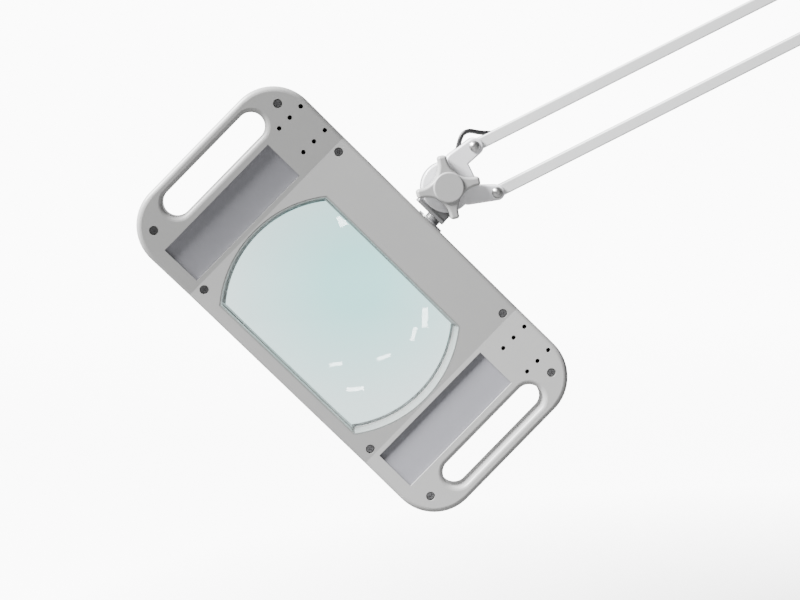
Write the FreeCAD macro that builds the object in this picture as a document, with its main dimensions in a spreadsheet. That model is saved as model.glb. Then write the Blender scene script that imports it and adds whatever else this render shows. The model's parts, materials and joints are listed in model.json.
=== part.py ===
"""Magnifying lamp: a wide lens head with two LED wings on a two-stage parallel arm and a table clamp.

World frame, millimetres: the origin is the middle of the clamp's upper pad, where it rests on the
table top. +Z is up, the arms lie in the XZ plane and the head looks towards -Y.

Most pieces are drawn in a plane frame: x runs along the piece, y across it in the XZ plane, and z
points out of that plane towards -Y. A frame is a point of the XZ plane and an angle.
"""
import FreeCAD
import Part
import math
import os
import re

import Sketcher
from FreeCAD import Placement, Rotation, Vector

DIMENSIONS = {
    # head case
    "head_angle": -44.55,
    "head_length": 370.0,
    "head_width": 184.0,
    "head_corner": 39.0,
    "half_depth": 15.0,
    "wall": 2.5,
    "crease": 102.5,
    "wing_tilt": 7.0,
    "rim_round": 4.0,
    "seam_round": 0.35,
    "cavity_reach": 149.0,
    "case_post": 5.0,
    "slab_overrun": 15.0,
    "through": 60.0,
    "lap": 5.0,
    # lens and its opening
    "lens_y": -17.0,
    "opening_radius": 101.5,
    "opening_top": 47.0,
    "opening_bottom": -81.0,
    "lens_radius": 98.0,
    "lens_edge": 3.0,
    "lens_curve": 800.0,
    "lens_plane": -6.5,
    "bevel_arc": 4.6,
    "bevel_flat": 2.2,
    "bezel_step_arc": 2.8,
    "bezel_step_flat": 2.0,
    "bezel_step_level": 5.0,
    # light windows in the wings
    "window_near": 106.4,
    "window_far": 143.2,
    "window_low": -78.8,
    "window_high": 43.2,
    "window_back": 3.0,
    "window_margin": 1.8,
    "diffuser_depth": 2.9,
    "diffuser_thick": 1.8,
    "board_depth": 11.0,
    "board_thick": 1.6,
    "led_size": 3.0,
    "led_thick": 0.8,
    # ventilation holes
    "vent_radius": 1.9,
    "vent_near": 117.8,
    "vent_far": 145.8,
    "vent_low": 59.3,
    "vent_middle": 71.8,
    "vent_high": 84.7,
    # handle slots
    "slot_x": 163.4,
    "slot_y": 0.5,
    "slot_width": 23.3,
    "slot_length": 111.0,
    # case screws
    "end_screw_x": 161.0,
    "end_screw_y": 73.0,
    "mid_screw_x": 97.0,
    "mid_screw_y": 80.0,
    "recess_radius": 3.8,
    "recess_depth": 4.0,
    "screw_shank": 1.4,
    "screw_length": 22.0,
    "screw_clear": 0.2,
    "case_head": 2.9,
    "case_head_high": 2.0,
    "cross_long": 1.7,
    "cross_wide": 0.35,
    # rocker switch
    "switch_x": -60.4,
    "switch_y": 68.4,
    "flange_wide": 11.0,
    "flange_tall": 7.8,
    "flange_thick": 1.4,
    "barrel_wide": 9.55,
    "barrel_tall": 6.35,
    "barrel_gap": 0.05,
    "well_wide": 8.2,
    "well_tall": 4.8,
    "rocker_half": 4.6,
    "rocker_reach": 6.6,
    "rocker_pin_level": -11.5,
    "rocker_pin": 1.0,
    # neck and tilt joint
    "neck_radius": 6.75,
    "spigot_radius": 3.5,
    "neck_above": 5.4,
    "neck_below": 9.0,
    "wire_way": 1.8,
    "washer_radius": 12.5,
    "washer_thick": 1.6,
    "neck_nut_radius": 11.0,
    "neck_nut_thick": 5.0,
    "running_gap": 0.06,
    "hub_x": -11.0,
    "hub_y": 123.0,
    "hub_radius": 21.6,
    "tongue_radius": 20.0,
    "tongue_half": 5.0,
    "yoke_left": -21.0,
    "yoke_right": 8.5,
    "yoke_half": 8.0,
    "yoke_round": 1.2,
    "bolt_head": 7.5,
    "bolt_head_thick": 5.0,
    "casting_round": 1.6,
    "bar_room": 9.5,
    "bolt_radius": 4.0,
    # knob
    "knob_reach": 27.0,
    "knob_flank": 13.5,
    "knob_scoop": 19.8,
    "knob_thick": 12.0,
    "knob_turn": -13.9,
    "knob_tip_round": 2.4,
    "knob_edge_round": 2.2,
    "crown_radius": 13.0,
    "crown_height": 1.5,
    "crown_round": 1.4,
    "boss_radius": 11.0,
    "insert_radius": 7.0,
    "insert_top": 8.3,
    "bolt_top": 12.6,
    # arms
    "arm_angle": 26.5,
    "lower_angle": 100.0,
    "arm_span": 430.0,
    "bar_size": 10.0,
    "bar_wall": 1.0,
    "bar_end": 7.0,
    "bar_round": 1.2,
    "bar_slot_half": 2.6,
    "arm_through": 20.0,
    "pivot_spread": 21.6,
    "head_pivot_x": 36.0,
    "head_pivot_y": -1.8,
    "pivot_radius": 2.5,
    "screw_head": 4.8,
    "cheek_inner": 5.3,
    "cheek_outer": 8.3,
    "cheek_round": 0.8,
    "cheek_lobe": 9.0,
    "lock_nut_radius": 4.9,
    "lock_nut_thick": 3.6,
    "key_radius": 1.7,
    # elbow and base
    "elbow_run": 45.0,
    "elbow_drop": 32.0,
    "spacer_x": 22.5,
    "spacer_y": -15.5,
    "spacer_radius": 3.4,
    "rivet_radius": 2.0,
    "clip_x": 46.0,
    "clip_y": -4.0,
    "clip_foot_y": -14.0,
    "clip_ring": 4.2,
    "base_height": 75.0,
    "post_radius": 6.0,
    "socket_top": 40.0,
    "socket_radius": 12.0,
    "bracket_foot": 13.0,
    "foot_low": -33.0,
    "foot_high": -27.0,
    "gland_y": -25.0,
    "gland_plug": 3.0,
    "cable_in_y": -16.0,
    "spring_radius": 4.0,
    "spring_pin_radius": 1.1,
    "spring_pin_offset": 2.8,
    "spring_side": 16.0,
    "spring_lever": 13.0,
    "spring_reach": 105.0,
    # clamp
    "clamp_width": 30.0,
    "throat": 54.0,
    "jaw_thick": 12.0,
    "corner_round": 6.0,
    "frame_round": 1.5,
    "boss_low": 9.0,
    "shoe_radius": 15.0,
    "shoe_thick": 7.0,
    "cup_radius": 8.0,
    "cup_thick": 3.0,
    "knuckle_radius": 7.5,
    "knuckle_height": 16.0,
    "handle_level": 8.0,
    "handle_radius": 2.5,
    "handle_half": 34.0,
    "cap_radius": 4.2,
    "lock_level": 27.0,
    "lock_stem": 3.0,
    "lock_grip": 8.0,
    "lock_flute": 2.4,
    "screw_radius": 5.0,
    "floor_depth": 145.0,
    # cable
    "cord_radius": 2.0,
    "coil_radius": 23.0,
    "coil_half": 9.0,
    "coil_x": 112.0,
    "coil_clear": 2.2,
    "adapter_length": 58.0,
    "adapter_width": 34.0,
    "adapter_height": 26.0,
    "adapter_side": 15.0,
    "relief_start": 46.0,
    "relief_length": 19.0,
    "relief_level": 4.6,
    "plug_pin": 2.0,
    "plug_pin_spread": 9.3,
}

doc = FreeCAD.newDocument("magnifying_lamp")
sheet = doc.addObject("Spreadsheet::Sheet", "dims")
for row, (alias, number) in enumerate(DIMENSIONS.items(), start=1):
    sheet.set("A%d" % row, alias)
    sheet.set("B%d" % row, str(number))
    sheet.setAlias("B%d" % row, alias)
doc.recompute()

SUBPARTS = []
# Spans of tools that pass right through the head, and through the arms and brackets.
THROUGH = ("-through", "through")
ARM_THROUGH = ("-arm_through", "arm_through")
# How near a measured edge lies to the place it is looked for at.
TOUCH = 0.02


# ---------------------------------------------------------------- expressions and placements

def bound(expression):
    """The expression with every alias read from the sheet."""
    def swap(match):
        word = match.group()
        return "dims." + word if word in DIMENSIONS else word
    return re.sub(r"[a-z_]+", swap, str(expression))


def value(expression):
    return float(sheet.evalExpression(bound(expression)))


def drive(target, prop, expression):
    """Bind a property to the sheet."""
    target.setExpression(prop, bound(expression))


def place(target, x, y, z, turn=None):
    """Place an object at a bound position."""
    target.Placement = Placement(Vector(value(x), value(y), value(z)), turn or Rotation())
    for letter, expression in zip("xyz", (x, y, z)):
        drive(target, "Placement.Base." + letter, expression)


def plane_frame(x, z, angle):
    """A frame in the XZ plane: its x axis is turned up by the angle, its z axis looks towards -Y."""
    turn = Rotation(Vector(0, 1, 0), -angle) * Rotation(Vector(1, 0, 0), 90)
    return Placement(Vector(x, 0, z), turn)


ALONG = {"x": Rotation(Vector(0, 1, 0), 90), "y": Rotation(Vector(1, 0, 0), -90), "z": Rotation()}


# ---------------------------------------------------------------- primitives and booleans

def block(name, x, y, z):
    """A box between two bound limits on each axis."""
    solid = doc.addObject("Part::Box", name)
    for prop, (low, high) in zip(("Length", "Width", "Height"), (x, y, z)):
        drive(solid, prop, "(%s) - (%s)" % (high, low))
    place(solid, x[0], y[0], z[0])
    return solid


def around(middle, half):
    """The span of a half width to each side of a middle."""
    return ("%s - (%s)" % (middle, half), "%s + (%s)" % (middle, half))


def rod(name, radius, axis, span, at=(0, 0)):
    """A cylinder along an axis over a span, at the two other coordinates in x, y, z order."""
    solid = doc.addObject("Part::Cylinder", name)
    drive(solid, "Radius", radius)
    drive(solid, "Height", "(%s) - (%s)" % (span[1], span[0]))
    start = list(at)
    start.insert("xyz".index(axis), span[0])
    place(solid, *start, ALONG[axis])
    return solid


def cone(name, radii, axis, span, at=(0, 0)):
    solid = doc.addObject("Part::Cone", name)
    drive(solid, "Radius1", radii[0])
    drive(solid, "Radius2", radii[1])
    drive(solid, "Height", "(%s) - (%s)" % (span[1], span[0]))
    start = list(at)
    start.insert("xyz".index(axis), span[0])
    place(solid, *start, ALONG[axis])
    return solid


def ball(name, radius, at):
    solid = doc.addObject("Part::Sphere", name)
    drive(solid, "Radius", radius)
    place(solid, *at)
    return solid


def hexagon_prism(name, radius, height):
    """A hexagonal prism at the origin; the radius is to its corners."""
    solid = doc.addObject("Part::Prism", name)
    solid.Polygon = 6
    drive(solid, "Circumradius", radius)
    drive(solid, "Height", height)
    return solid


def fuse(name, shapes):
    solid = doc.addObject("Part::MultiFuse", name)
    solid.Shapes = shapes
    solid.Refine = True
    return solid


def group(name, shapes):
    solids = doc.addObject("Part::Compound", name)
    solids.Links = shapes
    return solids


def cut(name, base, tools):
    solid = doc.addObject("Part::Cut", name)
    solid.Base = base
    solid.Tool = tools[0] if len(tools) == 1 else fuse(name + "_tools", tools)
    solid.Refine = True
    return solid


def common(name, first, second):
    solid = doc.addObject("Part::Common", name)
    solid.Base = first
    solid.Tool = second
    return solid


def rounded(name, base, radius, wanted):
    """Fillet the edges whose middle point and box pass a test."""
    doc.recompute()
    size = value(radius)
    picked = []
    for number, edge in enumerate(base.Shape.Edges, start=1):
        middle = edge.valueAt((edge.FirstParameter + edge.LastParameter) / 2)
        if wanted(middle, edge):
            picked.append((number, size, size))
    solid = doc.addObject("Part::Fillet", name)
    solid.Base = base
    solid.Edges = picked
    return solid


# ---------------------------------------------------------------- sketched pads

def new_sketch(body, name, plane, offset):
    sketch = body.newObject("Sketcher::SketchObject", name)
    role = next(item for item in body.Origin.OriginFeatures if item.Role == plane)
    sketch.AttachmentSupport = [(role, "")]
    sketch.MapMode = "FlatFace"
    drive(sketch, "AttachmentOffset.Base.z", offset)
    return sketch


def pin_point(sketch, geometry, end, x, y):
    """Bind one point of a sketch to bound coordinates."""
    for kind, expression in (("DistanceX", x), ("DistanceY", y)):
        number = sketch.addConstraint(Sketcher.Constraint(kind, geometry, end, value(expression)))
        label = "%s_%d_%d" % (kind, geometry, end)
        sketch.renameConstraint(number, label)
        drive(sketch, "Constraints." + label, expression)


def pin_radius(sketch, geometry, expression):
    number = sketch.addConstraint(Sketcher.Constraint("Radius", geometry, value(expression)))
    label = "Radius_%d" % geometry
    sketch.renameConstraint(number, label)
    drive(sketch, "Constraints." + label, expression)


def draw_polygon(sketch, points):
    corners = [Vector(value(x), value(y), 0) for x, y in points]
    count = len(corners)
    for index in range(count):
        sketch.addGeometry(Part.LineSegment(corners[index], corners[(index + 1) % count]))
    for index in range(count):
        sketch.addConstraint(Sketcher.Constraint("Coincident", index, 2, (index + 1) % count, 1))
    for index, (x, y) in enumerate(points):
        pin_point(sketch, index, 1, x, y)


def draw_belt(sketch, circles):
    """The convex outline round a list of circles (x, y, radius), taken counter-clockwise."""
    centres = [Vector(value(x), value(y), 0) for x, y, _ in circles]
    radii = [value(radius) for _, _, radius in circles]
    count = len(circles)
    normals = []
    for index in range(count):
        other = (index + 1) % count
        step = centres[other] - centres[index]
        lean = math.acos((radii[index] - radii[other]) / step.Length)
        normals.append(math.atan2(step.y, step.x) - lean)
    for index in range(count):
        start = normals[index - 1]
        finish = normals[index]
        while finish < start:
            finish += 2 * math.pi
        circle = Part.Circle(centres[index], Vector(0, 0, 1), radii[index])
        sketch.addGeometry(Part.ArcOfCircle(circle, start, finish))
    for index in range(count):
        other = (index + 1) % count
        out = Vector(math.cos(normals[index]), math.sin(normals[index]), 0)
        sketch.addGeometry(Part.LineSegment(
            centres[index] + out * radii[index], centres[other] + out * radii[other]))
    for index in range(count):
        other = (index + 1) % count
        line = count + index
        sketch.addConstraint(Sketcher.Constraint("Tangent", index, 2, line, 1))
        sketch.addConstraint(Sketcher.Constraint("Tangent", line, 2, other, 1))
    for index, (x, y, radius) in enumerate(circles):
        pin_point(sketch, index, 3, x, y)
        pin_radius(sketch, index, radius)


def draw_truncated_disc(sketch, radius, top, bottom):
    """A disc about (0, lens_y) cut off by two level chords."""
    middle = value("lens_y")
    size = value(radius)
    high = math.asin((value(top) - middle) / size)
    low = math.asin((value(bottom) - middle) / size)
    circle = Part.Circle(Vector(0, middle, 0), Vector(0, 0, 1), size)
    sketch.addGeometry(Part.ArcOfCircle(circle, low, high))
    sketch.addGeometry(Part.ArcOfCircle(circle, math.pi - high, math.pi - low))
    right_top = Vector(size * math.cos(high), value(top), 0)
    right_bottom = Vector(size * math.cos(low), value(bottom), 0)
    left_top = Vector(-right_top.x, right_top.y, 0)
    left_bottom = Vector(-right_bottom.x, right_bottom.y, 0)
    sketch.addGeometry(Part.LineSegment(right_top, left_top))
    sketch.addGeometry(Part.LineSegment(left_bottom, right_bottom))
    for first, end, second, start in ((0, 2, 2, 1), (2, 2, 1, 1), (1, 2, 3, 1), (3, 2, 0, 1)):
        sketch.addConstraint(Sketcher.Constraint("Coincident", first, end, second, start))
    for line in (2, 3):
        sketch.addConstraint(Sketcher.Constraint("Horizontal", line))
    for arc in (0, 1):
        pin_point(sketch, arc, 3, 0, "lens_y")
        pin_radius(sketch, arc, radius)
    for line, level in ((2, top), (3, bottom)):
        number = sketch.addConstraint(Sketcher.Constraint("DistanceY", line, 1, value(level)))
        label = "Level_%d" % line
        sketch.renameConstraint(number, label)
        drive(sketch, "Constraints." + label, level)


def pad(name, draw, shape, span, plane="XY_Plane"):
    """A body padded over a span along the sketch plane's normal."""
    body = doc.addObject("PartDesign::Body", name)
    sketch = new_sketch(body, name + "_sketch", plane, span[0])
    draw(sketch, *shape)
    feature = body.newObject("PartDesign::Pad", name + "_pad")
    feature.Profile = sketch
    drive(feature, "Length", "(%s) - (%s)" % (span[1], span[0]))
    return body


def slot_circles(x, y, width, length):
    """Two end circles of an upright rounded slot, counter-clockwise."""
    reach = "(%s) / 2 - (%s) / 2" % (length, width)
    radius = "(%s) / 2" % width
    return [(x, "(%s) - (%s)" % (y, reach), radius), (x, "(%s) + (%s)" % (y, reach), radius)]


def cord_tube(name, points, radius):
    """A tube of straight runs joined by tangent arcs, each as large as its two runs allow."""
    radii = []
    edges = []
    start = points[0]
    for before, corner, after in zip(points, points[1:], points[2:]):
        inward = corner - before
        outward = after - corner
        turn = inward.getAngle(outward)
        reach = 0.45 * min(inward.Length, outward.Length)
        radii.append(reach / math.tan(turn / 2))
        first = corner - inward.normalize() * reach
        last = corner + outward.normalize() * reach
        centre_side = (first + last) * 0.5 - corner
        centre = corner + centre_side.normalize() * (math.hypot(reach, radii[-1]))
        middle = centre + (corner - centre).normalize() * radii[-1]
        edges.append(Part.LineSegment(start, first).toShape())
        edges.append(Part.Arc(first, middle, last).toShape())
        start = last
    edges.append(Part.LineSegment(start, points[-1]).toShape())
    path = Part.Wire(edges)
    heading = points[1] - points[0]
    ring = Part.Wire([Part.Circle(points[0], heading, radius).toShape()])
    tube = path.makePipeShell([ring], True, False)
    expected = math.pi * radius ** 2 * path.Length
    print("%s: length %.1f mm, volume/expected %.4f, radii %s" % (
        name, path.Length, tube.Volume / expected, " ".join("%.0f" % size for size in radii)))
    solid = doc.addObject("Part::Feature", name)
    solid.Shape = tube
    return solid


def subpart(label, solid, frame):
    """Register a finished sub-part and move it from its own frame into the world."""
    solid.Label = label
    solid.Placement = frame
    SUBPARTS.append(solid)


# ---------------------------------------------------------------- frames

def turned(x, y, angle):
    """A step of a turned frame seen from the level frame."""
    across = math.radians(angle)
    cosine, sine = math.cos(across), math.sin(across)
    return Vector(x * cosine - y * sine, 0, x * sine + y * cosine)


ARM_ANGLE = value("arm_angle")
LOWER_ANGLE = value("lower_angle")
HEAD_ANGLE = value("head_angle")
BASE = Vector(0, 0, value("base_height"))
ELBOW_LOW = BASE + turned(value("arm_span"), 0, LOWER_ANGLE)
ELBOW = ELBOW_LOW + Vector(-value("elbow_run"), 0, value("elbow_drop"))
HUB = ELBOW - turned(value("head_pivot_x + arm_span"), value("head_pivot_y"), ARM_ANGLE)
HEAD = HUB - turned(value("hub_x"), value("hub_y"), HEAD_ANGLE)

WORLD_FRAME = Placement()
LEVEL_BASE = plane_frame(BASE.x, BASE.z, 0)
LEVEL_ELBOW = plane_frame(ELBOW.x, ELBOW.z, 0)
LOWER_FRAME = plane_frame(BASE.x, BASE.z, LOWER_ANGLE)
ARM_FRAME = plane_frame(HUB.x, HUB.z, ARM_ANGLE)
HEAD_FRAME = plane_frame(HEAD.x, HEAD.z, HEAD_ANGLE)
CLAMP_FRAME = plane_frame(0, 0, 0)

UPPER_PIVOTS = ("head_pivot_y + pivot_spread", "head_pivot_y - pivot_spread")
# Pivot centres of the elbow plates in the level frame at the elbow, and of the base bracket at the base.
ARM_SIDE = ("-pivot_spread * sin(arm_angle)", "pivot_spread * cos(arm_angle)")
LOW_SIDE = ("-pivot_spread * sin(lower_angle)", "pivot_spread * cos(lower_angle)")
ELBOW_PIVOTS = [
    ARM_SIDE,
    tuple("-(%s)" % item for item in ARM_SIDE),
    ("elbow_run + (%s)" % LOW_SIDE[0], "(%s) - elbow_drop" % LOW_SIDE[1]),
    ("elbow_run - (%s)" % LOW_SIDE[0], "-(%s) - elbow_drop" % LOW_SIDE[1]),
]
BASE_PIVOTS = [LOW_SIDE, tuple("-(%s)" % item for item in LOW_SIDE)]


# Where the cable starts inside the head bracket, and the angle at which it comes out, in the arm frame.
CABLE_START = (18.4, 17.6)
CABLE_LEAN = 55.0


# ---------------------------------------------------------------- head case

def bent_slab(name, low, high):
    """A slab between two depths, flat in the middle and rising over both wings."""
    reach = "head_length / 2 + slab_overrun"
    rise = "(head_length / 2 + slab_overrun - crease) * tan(wing_tilt)"
    points = [
        ("-(%s)" % reach, "%s + %s" % (low, rise)), ("-crease", low), ("crease", low),
        (reach, "%s + %s" % (low, rise)), (reach, "%s + %s" % (high, rise)),
        ("crease", high), ("-crease", high), ("-(%s)" % reach, "%s + %s" % (high, rise)),
    ]
    return pad(name, draw_polygon, (points,), ("-head_width / 2 - lap", "head_width / 2 + lap"), "XZ_Plane")


def outline_prism(name, inset):
    """The head's rounded outline as an upright prism, drawn in by an inset."""
    x = "head_length / 2 - head_corner"
    y = "head_width / 2 - head_corner"
    radius = "head_corner - %s" % inset
    circles = [(x, y, radius), ("-(%s)" % x, y, radius), ("-(%s)" % x, "-(%s)" % y, radius),
               (x, "-(%s)" % y, radius)]
    return pad(name, draw_belt, (circles,), THROUGH)


def slot_prisms(name, growth):
    solids = []
    for side, word in ((1, "right"), (-1, "left")):
        circles = slot_circles("%d * slot_x" % side, "slot_y", "slot_width + 2 * %s" % growth,
                               "slot_length + 2 * %s" % growth)
        solids.append(pad("%s_%s" % (name, word), draw_belt, (circles,), THROUGH))
    return solids


def lens_prism(name, growth, span):
    shape = ("opening_radius + %s" % growth, "opening_top + %s" % growth, "opening_bottom - %s" % growth)
    return pad(name, draw_truncated_disc, shape, span)


def wing_rise(x):
    return "(abs(%s) - crease) * tan(wing_tilt)" % x


def screw_places():
    """Case screw centres with the height of the front face over each."""
    places = []
    for side_x in (1, -1):
        for side_y in (1, -1):
            x = "%d * end_screw_x" % side_x
            places.append((x, "%d * end_screw_y" % side_y, "half_depth + " + wing_rise(x)))
            places.append(("%d * mid_screw_x" % side_x, "%d * mid_screw_y" % side_y, "half_depth"))
    return places


def cavity(name, low, high):
    """The hollow of one case half: stops short of the handle slots, the screw posts and the lens collar."""
    x = "cavity_reach"
    y = "head_width / 2 - wall"
    prism = block(name + "_box", ("-" + x, x), ("-(%s)" % y, y), THROUGH)
    room = common(name + "_room", prism, bent_slab(name + "_slab", low, high))
    posts = [rod("%s_post_%d" % (name, number), "case_post", "z", THROUGH, (px, py))
             for number, (px, py, _) in enumerate(screw_places())]
    collar = lens_prism(name + "_collar", "wall", THROUGH)
    return cut(name, room, posts + [collar])


def is_rim(level):
    """Outer and slot edges on the face at the given depth, without the creases."""
    def test(middle, edge):
        on_crease = abs(abs(middle.x) - value("crease")) < TOUCH and abs(middle.y) < value("through")
        if edge.Length < value("seam_round") or on_crease:
            return False
        rise = max(0.0, abs(middle.x) - value("crease")) * math.tan(math.radians(value("wing_tilt")))
        return abs(middle.z - value(level) - rise) < TOUCH
    return test


def case_half(name, low, high, face):
    """One half of the case before its hollow is cut, with the rim and the slot edges rounded."""
    outline = outline_prism(name + "_outline", "0")
    solid = common(name + "_outer", outline, bent_slab(name + "_bend", low, high))
    slotted = cut(name + "_slotted", solid, slot_prisms(name + "_slot", "0"))
    soft = rounded(name + "_round", slotted, "rim_round", is_rim(face))
    return rounded(name + "_seam", soft, "seam_round", is_rim("0"))


def neck_hole(name):
    return rod(name, "neck_radius + 0.05", "y", ("head_width / 2 - 2 * lap", "head_width / 2 + lap"))


def front_shell():
    solid = case_half("front", "0", "half_depth", "half_depth")
    tools = [cavity("front_hollow", "-0.5", "half_depth - wall"),
             lens_prism("front_opening", "0", ("-1", "half_depth + lap")),
             neck_hole("front_neck_hole")]
    for side, word in ((1, "right"), (-1, "left")):
        near, far = ("window_near", "window_far") if side > 0 else ("-window_far", "-window_near")
        tools.append(block("front_window_" + word, (near, far), ("window_low", "window_high"),
                           ("window_back", "through")))
        for column, x in enumerate(("vent_near", "vent_far")):
            for line, y in enumerate(("vent_low", "vent_middle", "vent_high")):
                tools.append(rod("front_vent_%s_%d_%d" % (word, column, line), "vent_radius", "z",
                                 ("lap", "through"),
                                 ("%d * %s" % (side, x), y)))
    for number, (x, y, top) in enumerate(screw_places()):
        tools.append(rod("front_recess_%d" % number, "recess_radius", "z",
                         ("%s - recess_depth" % top, "through"), (x, y)))
        tools.append(rod("front_hole_%d" % number, "screw_shank + screw_clear", "z",
                         ("-1", "through"), (x, y)))
    subpart("front_shell", cut("front_shell", solid, tools), HEAD_FRAME)


def back_shell():
    solid = case_half("back", "-half_depth", "0", "-half_depth")
    seat = "lens_plane - lens_edge / 2 - 1"
    tools = [cavity("back_hollow", "wall - half_depth", "0.5"),
             lens_prism("back_well", "0", (seat, "5")),
             common("back_lens_room", lens_prism("back_dome_limit", "-1", ("-half_depth + 1", "5")),
                    lens_ball("back_dome", -1, "0.3")),
             pad("back_view", draw_truncated_disc,
                 ("opening_radius - bevel_arc - 1", "opening_top - bevel_flat - 1",
                  "opening_bottom + bevel_flat + 1"), ("-half_depth - 5", "5")),
             block("back_switch_hole", around("switch_x", "barrel_wide + barrel_gap"),
                   around("switch_y", "barrel_tall + barrel_gap"), ("-through", "0")),
             neck_hole("back_neck_hole")]
    for number, (x, y, top) in enumerate(screw_places()):
        tools.append(rod("back_pilot_%d" % number, "screw_shank", "z",
                         ("%s - recess_depth - screw_length" % top, "through"), (x, y)))
    subpart("back_shell", cut("back_shell", solid, tools), HEAD_FRAME)


def case_screws():
    screws = []
    for number, (x, y, top) in enumerate(screw_places()):
        seat = "%s - recess_depth" % top
        head = rod("case_screw_head_%d" % number, "case_head", "z",
                   (seat, seat + " + case_head_high"), (x, y))
        shank = rod("case_screw_shank_%d" % number, "screw_shank", "z",
                    (seat + " - screw_length", seat), (x, y))
        cross = [block("case_screw_slot_%d_%s" % (number, word), around(x, long), around(y, wide),
                       (seat + " + case_head_high / 2", seat + " + case_head_high + 1"))
                 for word, long, wide in (("a", "cross_long", "cross_wide"),
                                          ("b", "cross_wide", "cross_long"))]
        body = fuse("case_screw_body_%d" % number, [head, shank])
        screws.append(cut("case_screw_%d" % number, body, cross))
    subpart("case_screws", group("case_screws", screws), HEAD_FRAME)


def lens_ball(name, side, gap):
    """The ball whose surface is the lens face on one side, a little larger by the gap."""
    drop = "%d * (sqrt(lens_curve^2 - lens_radius^2) - lens_edge / 2)" % side
    return ball(name, "lens_curve + " + gap, (0, "lens_y", "lens_plane - (%s)" % drop))


def lens():
    """A thick double-convex lens: the common part of its outline and two large balls."""
    shape = ("lens_radius", "opening_top - 1.5", "opening_bottom + 1.5")
    blank = pad("lens_blank", draw_truncated_disc, shape, ("lens_plane - 12", "lens_plane + 12"))
    front = lens_ball("lens_front", 1, "0")
    back = lens_ball("lens_back", -1, "0")
    subpart("lens", common("lens", common("lens_half", blank, front), back), HEAD_FRAME)


def lens_gasket():
    span = ("lens_plane - lens_edge / 2 - 1", "lens_plane + lens_edge / 2 + 1")
    outer = lens_prism("gasket_outer", "-0.2", span)
    inner = pad("gasket_inner", draw_truncated_disc,
                ("lens_radius", "opening_top - 1.5", "opening_bottom + 1.5"), ARM_THROUGH)
    subpart("lens_gasket", cut("lens_gasket", outer, [inner]), HEAD_FRAME)


def lens_bezel():
    """The ring round the lens, sloping in from the front face to a ledge and on down to the gasket."""
    low = "lens_plane + lens_edge / 2 + 1"
    outer = lens_prism("bezel_outer", "-0.1", (low, "half_depth - 0.2"))
    mouths = []
    for word, arc, flat, level in (("low", "bevel_arc + 1.4", "bevel_flat + 1.4", low),
                                   ("high", "1.4", "1.4", "half_depth - 0.2")):
        body = doc.addObject("PartDesign::Body", "bezel_" + word)
        sketch = new_sketch(body, "bezel_%s_sketch" % word, "XY_Plane", level)
        draw_truncated_disc(sketch, "opening_radius - " + arc, "opening_top - (%s)" % flat,
                            "opening_bottom + %s" % flat)
        mouths.append(sketch)
    funnel = doc.addObject("Part::Loft", "bezel_funnel")
    funnel.Sections = mouths
    funnel.Solid = True
    funnel.Ruled = True
    step = pad("bezel_step", draw_truncated_disc,
               ("opening_radius - bezel_step_arc", "opening_top - bezel_step_flat",
                "opening_bottom + bezel_step_flat"), ("bezel_step_level", "half_depth"))
    room = lens_ball("bezel_lens_room", 1, "0.2")
    ring = cut("bezel_ring", outer, [funnel, step])
    subpart("lens_bezel", cut("lens_bezel", ring, [room]), HEAD_FRAME)


def wing_turn(side):
    return Rotation(Vector(0, 1, 0), -side * value("wing_tilt"))


def wing_plate(name, side, x, y, depth, thick):
    """A plate parallel to one wing's face, at a depth under it."""
    near, far = x
    plate = doc.addObject("Part::Box", name)
    drive(plate, "Length", "(%s) - (%s)" % (far, near))
    drive(plate, "Width", "(%s) - (%s)" % (y[1], y[0]))
    drive(plate, "Height", thick)
    step = value("%s - crease" % near if side > 0 else "crease - (%s)" % far)
    turn = wing_turn(side)
    corner = Vector(side * value("crease"), 0, value("half_depth")) + turn.multVec(
        Vector(step, value(y[0]), -value(depth) - value(thick)))
    plate.Placement = Placement(corner, turn)
    return plate


def diffusers():
    for side, word in ((1, "right"), (-1, "left")):
        plate = wing_plate("diffuser_plate_" + word, side,
                           ("window_near - window_margin", "window_far + window_margin"),
                           ("window_low - window_margin", "window_high + window_margin"),
                           "diffuser_depth", "diffuser_thick")
        subpart("diffuser_" + word, group("diffuser_" + word, [plate]), HEAD_FRAME)


def led_boards():
    boards = []
    chips = []
    for side, word in ((1, "right"), (-1, "left")):
        boards.append(wing_plate("led_board_" + word, side, ("window_near", "window_far"),
                                 ("window_low + 1", "window_high - 1"), "board_depth", "board_thick"))
        for column in range(3):
            for line in range(8):
                x = value("window_near") + 6 + column * 11
                y = value("window_low") + 8 + line * 15
                chips.append(wing_plate("led_%s_%d_%d" % (word, column, line), side,
                                        (x, "%s + led_size" % x), (y, "%s + led_size" % y),
                                        "board_depth - led_thick", "led_thick"))
    subpart("led_boards", group("led_boards", boards), HEAD_FRAME)
    subpart("led_chips", group("led_chips", chips), HEAD_FRAME)


def driver():
    """The LED driver in the strip of case between the lens and the neck."""
    board = block("driver_plate", ("20", "80"), ("56", "78"), ("-9", "-7.4"))
    subpart("driver_board", group("driver_board", [board]), HEAD_FRAME)
    coil = rod("driver_coil", 5, "z", ("-7.4", "-0.4"), ("30", "67"))
    can = rod("driver_capacitor", 3.5, "z", ("-7.4", "2"), ("46", "68"))
    chip = block("driver_chip", ("56", "64"), ("62", "68"), ("-7.4", "-5.8"))
    plug = block("driver_socket", ("69", "77"), ("60", "72"), ("-7.4", "-2"))
    subpart("driver_parts", group("driver_parts", [coil, can, chip, plug]), HEAD_FRAME)


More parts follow.
